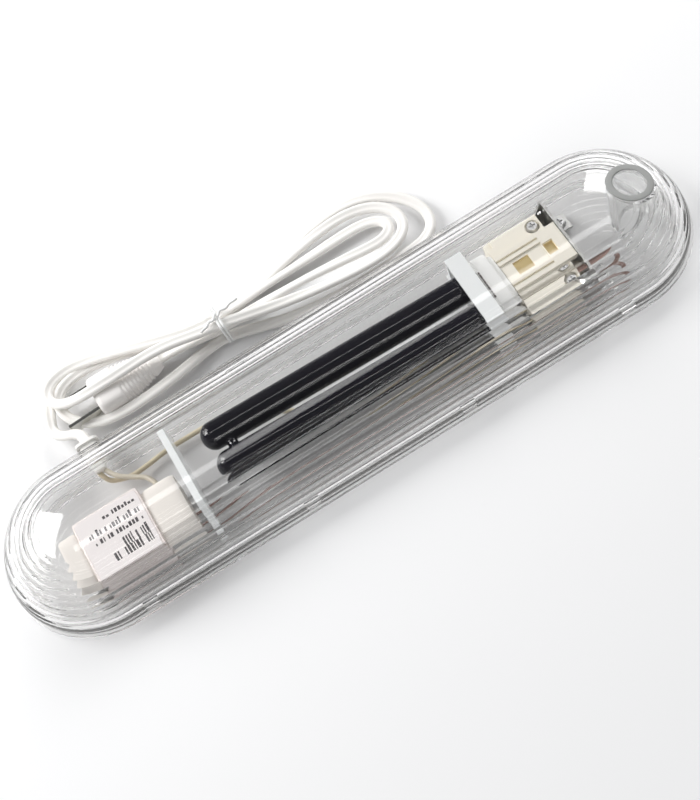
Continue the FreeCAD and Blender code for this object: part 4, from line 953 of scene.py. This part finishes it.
def softbox(name, at, size, power):
    """A rectangular light at a place, turned to the origin."""
    data = bpy.data.lights.new(name, "AREA")
    data.shape = "RECTANGLE"
    data.size, data.size_y = size
    data.energy = power
    light = bpy.data.objects.new(name, data)
    light.location = at
    light.rotation_euler = (-Vector(at)).to_track_quat("-Z", "Y").to_euler()
    bpy.context.scene.collection.objects.link(light)


def build_stage(context):
    """Even white surroundings, four softboxes and a sheet of pale paper."""
    s = context.scene.lamp_unit_stage
    world = bpy.data.worlds.new("studio")
    world.use_nodes = True
    background = next(n for n in world.node_tree.nodes if n.type == "BACKGROUND")
    background.inputs["Color"].default_value = (0.96, 0.98, 1.0, 1)
    background.inputs["Strength"].default_value = s.sky
    context.scene.world = world
    context.scene.view_settings.view_transform = "Standard"
    softbox("key", (-0.70, 0.55, 0.60), (0.7, 0.6), s.key)
    softbox("side", (0.65, 0.60, 0.55), (0.55, 0.5), s.key * 0.5)
    softbox("band", (0.0, 0.12, 1.15), (1.0, 0.12), s.key * 0.1)
    softbox("near_fill", (0.1, -0.9, 0.6), (0.9, 0.3), s.key * 0.25)
    paper = finish("floor_paper", tuple(s.paper), darker(s.paper, 0.99), 0.8, 0.05, (3.0, 0.3), (400.0, 0.02))
    half, below = 2.5, -0.2 * MM
    corners = [(-half, -half, below), (half, -half, below), (half, half, below), (-half, half, below)]
    floor = piece("floor", (corners, [[0, 1, 2, 3]]), None, paper)


# ------------------------------------------------------------------ operators


class LAMPUNIT_OT_camera(bpy.types.Operator):
    """Sets the camera at the unit's viewing angle"""

    bl_idname = "lamp_unit.camera"
    bl_label = "Camera"

    def execute(self, context):
        build_camera(context)
        return {"FINISHED"}


class LAMPUNIT_OT_mains_lead(bpy.types.Operator):
    """Lays the folded lead with its plug, tie and gland"""

    bl_idname = "lamp_unit.mains_lead"
    bl_label = "Mains lead"

    def execute(self, context):
        build_mains_lead(context)
        return {"FINISHED"}


class LAMPUNIT_OT_case(bpy.types.Operator):
    """Builds the fluted cover and the tray with its catches"""

    bl_idname = "lamp_unit.case"
    bl_label = "Clear case"

    def execute(self, context):
        build_case(context)
        return {"FINISHED"}


class LAMPUNIT_OT_sleeve(bpy.types.Operator):
    """Builds the sleeve that the unit hangs by"""

    bl_idname = "lamp_unit.sleeve"
    bl_label = "Hanging sleeve"

    def execute(self, context):
        build_sleeve(context)
        return {"FINISHED"}


class LAMPUNIT_OT_partition(bpy.types.Operator):
    """Finishes the partition and the lamp's rest"""

    bl_idname = "lamp_unit.partition"
    bl_label = "Partition and rest"

    def execute(self, context):
        build_partition(context)
        return {"FINISHED"}


class LAMPUNIT_OT_lamp(bpy.types.Operator):
    """Builds the twin-tube lamp with its cap and post"""

    bl_idname = "lamp_unit.lamp"
    bl_label = "Lamp"

    def execute(self, context):
        build_lamp(context)
        return {"FINISHED"}


class LAMPUNIT_OT_ballast(bpy.types.Operator):
    """Builds the laminated core, its coil ends and its plate"""

    bl_idname = "lamp_unit.ballast"
    bl_label = "Ballast"

    def execute(self, context):
        build_ballast(context)
        return {"FINISHED"}


class LAMPUNIT_OT_holder(bpy.types.Operator):
    """Finishes the lamp holder, its bracket and the screws"""

    bl_idname = "lamp_unit.holder"
    bl_label = "Holder"

    def execute(self, context):
        build_holder(context)
        return {"FINISHED"}


class LAMPUNIT_OT_leads(bpy.types.Operator):
    """Finishes the leads inside the case"""

    bl_idname = "lamp_unit.leads"
    bl_label = "Leads"

    def execute(self, context):
        build_leads(context)
        return {"FINISHED"}


class LAMPUNIT_OT_stage(bpy.types.Operator):
    """Sets the floor and the soft studio light"""

    bl_idname = "lamp_unit.stage"
    bl_label = "Stage"

    def execute(self, context):
        build_stage(context)
        return {"FINISHED"}


# The order in which they are run.
OPERATORS = [
    LAMPUNIT_OT_camera,
    LAMPUNIT_OT_mains_lead,
    LAMPUNIT_OT_case,
    LAMPUNIT_OT_sleeve,
    LAMPUNIT_OT_partition,
    LAMPUNIT_OT_lamp,
    LAMPUNIT_OT_ballast,
    LAMPUNIT_OT_holder,
    LAMPUNIT_OT_leads,
    LAMPUNIT_OT_stage,
]


class LAMPUNIT_PT_panel(bpy.types.Panel):
    """Lists the lamp unit's pieces and their settings"""

    bl_label = "Lamp unit"
    bl_idname = "LAMPUNIT_PT_panel"
    bl_space_type = "VIEW_3D"
    bl_region_type = "UI"
    bl_category = "Lamp unit"

    def draw(self, context):
        for cls in OPERATORS:
            self.layout.operator(cls.bl_idname)
        for name, group in SETTINGS.items():
            box = self.layout.box()
            for prop in group.__annotations__:
                box.prop(getattr(context.scene, name), prop)


CLASSES = [*SETTINGS.values(), *OPERATORS, LAMPUNIT_PT_panel]


def register():
    for cls in CLASSES:
        bpy.utils.register_class(cls)
    for name, group in SETTINGS.items():
        setattr(bpy.types.Scene, name, bpy.props.PointerProperty(type=group))


def unregister():
    for name in SETTINGS:
        delattr(bpy.types.Scene, name)
    for cls in reversed(CLASSES):
        bpy.utils.unregister_class(cls)


def main():
    register()
    for cls in OPERATORS:
        getattr(bpy.ops.lamp_unit, cls.bl_idname.split(".")[1])()


if __name__ == "__main__":
    main()
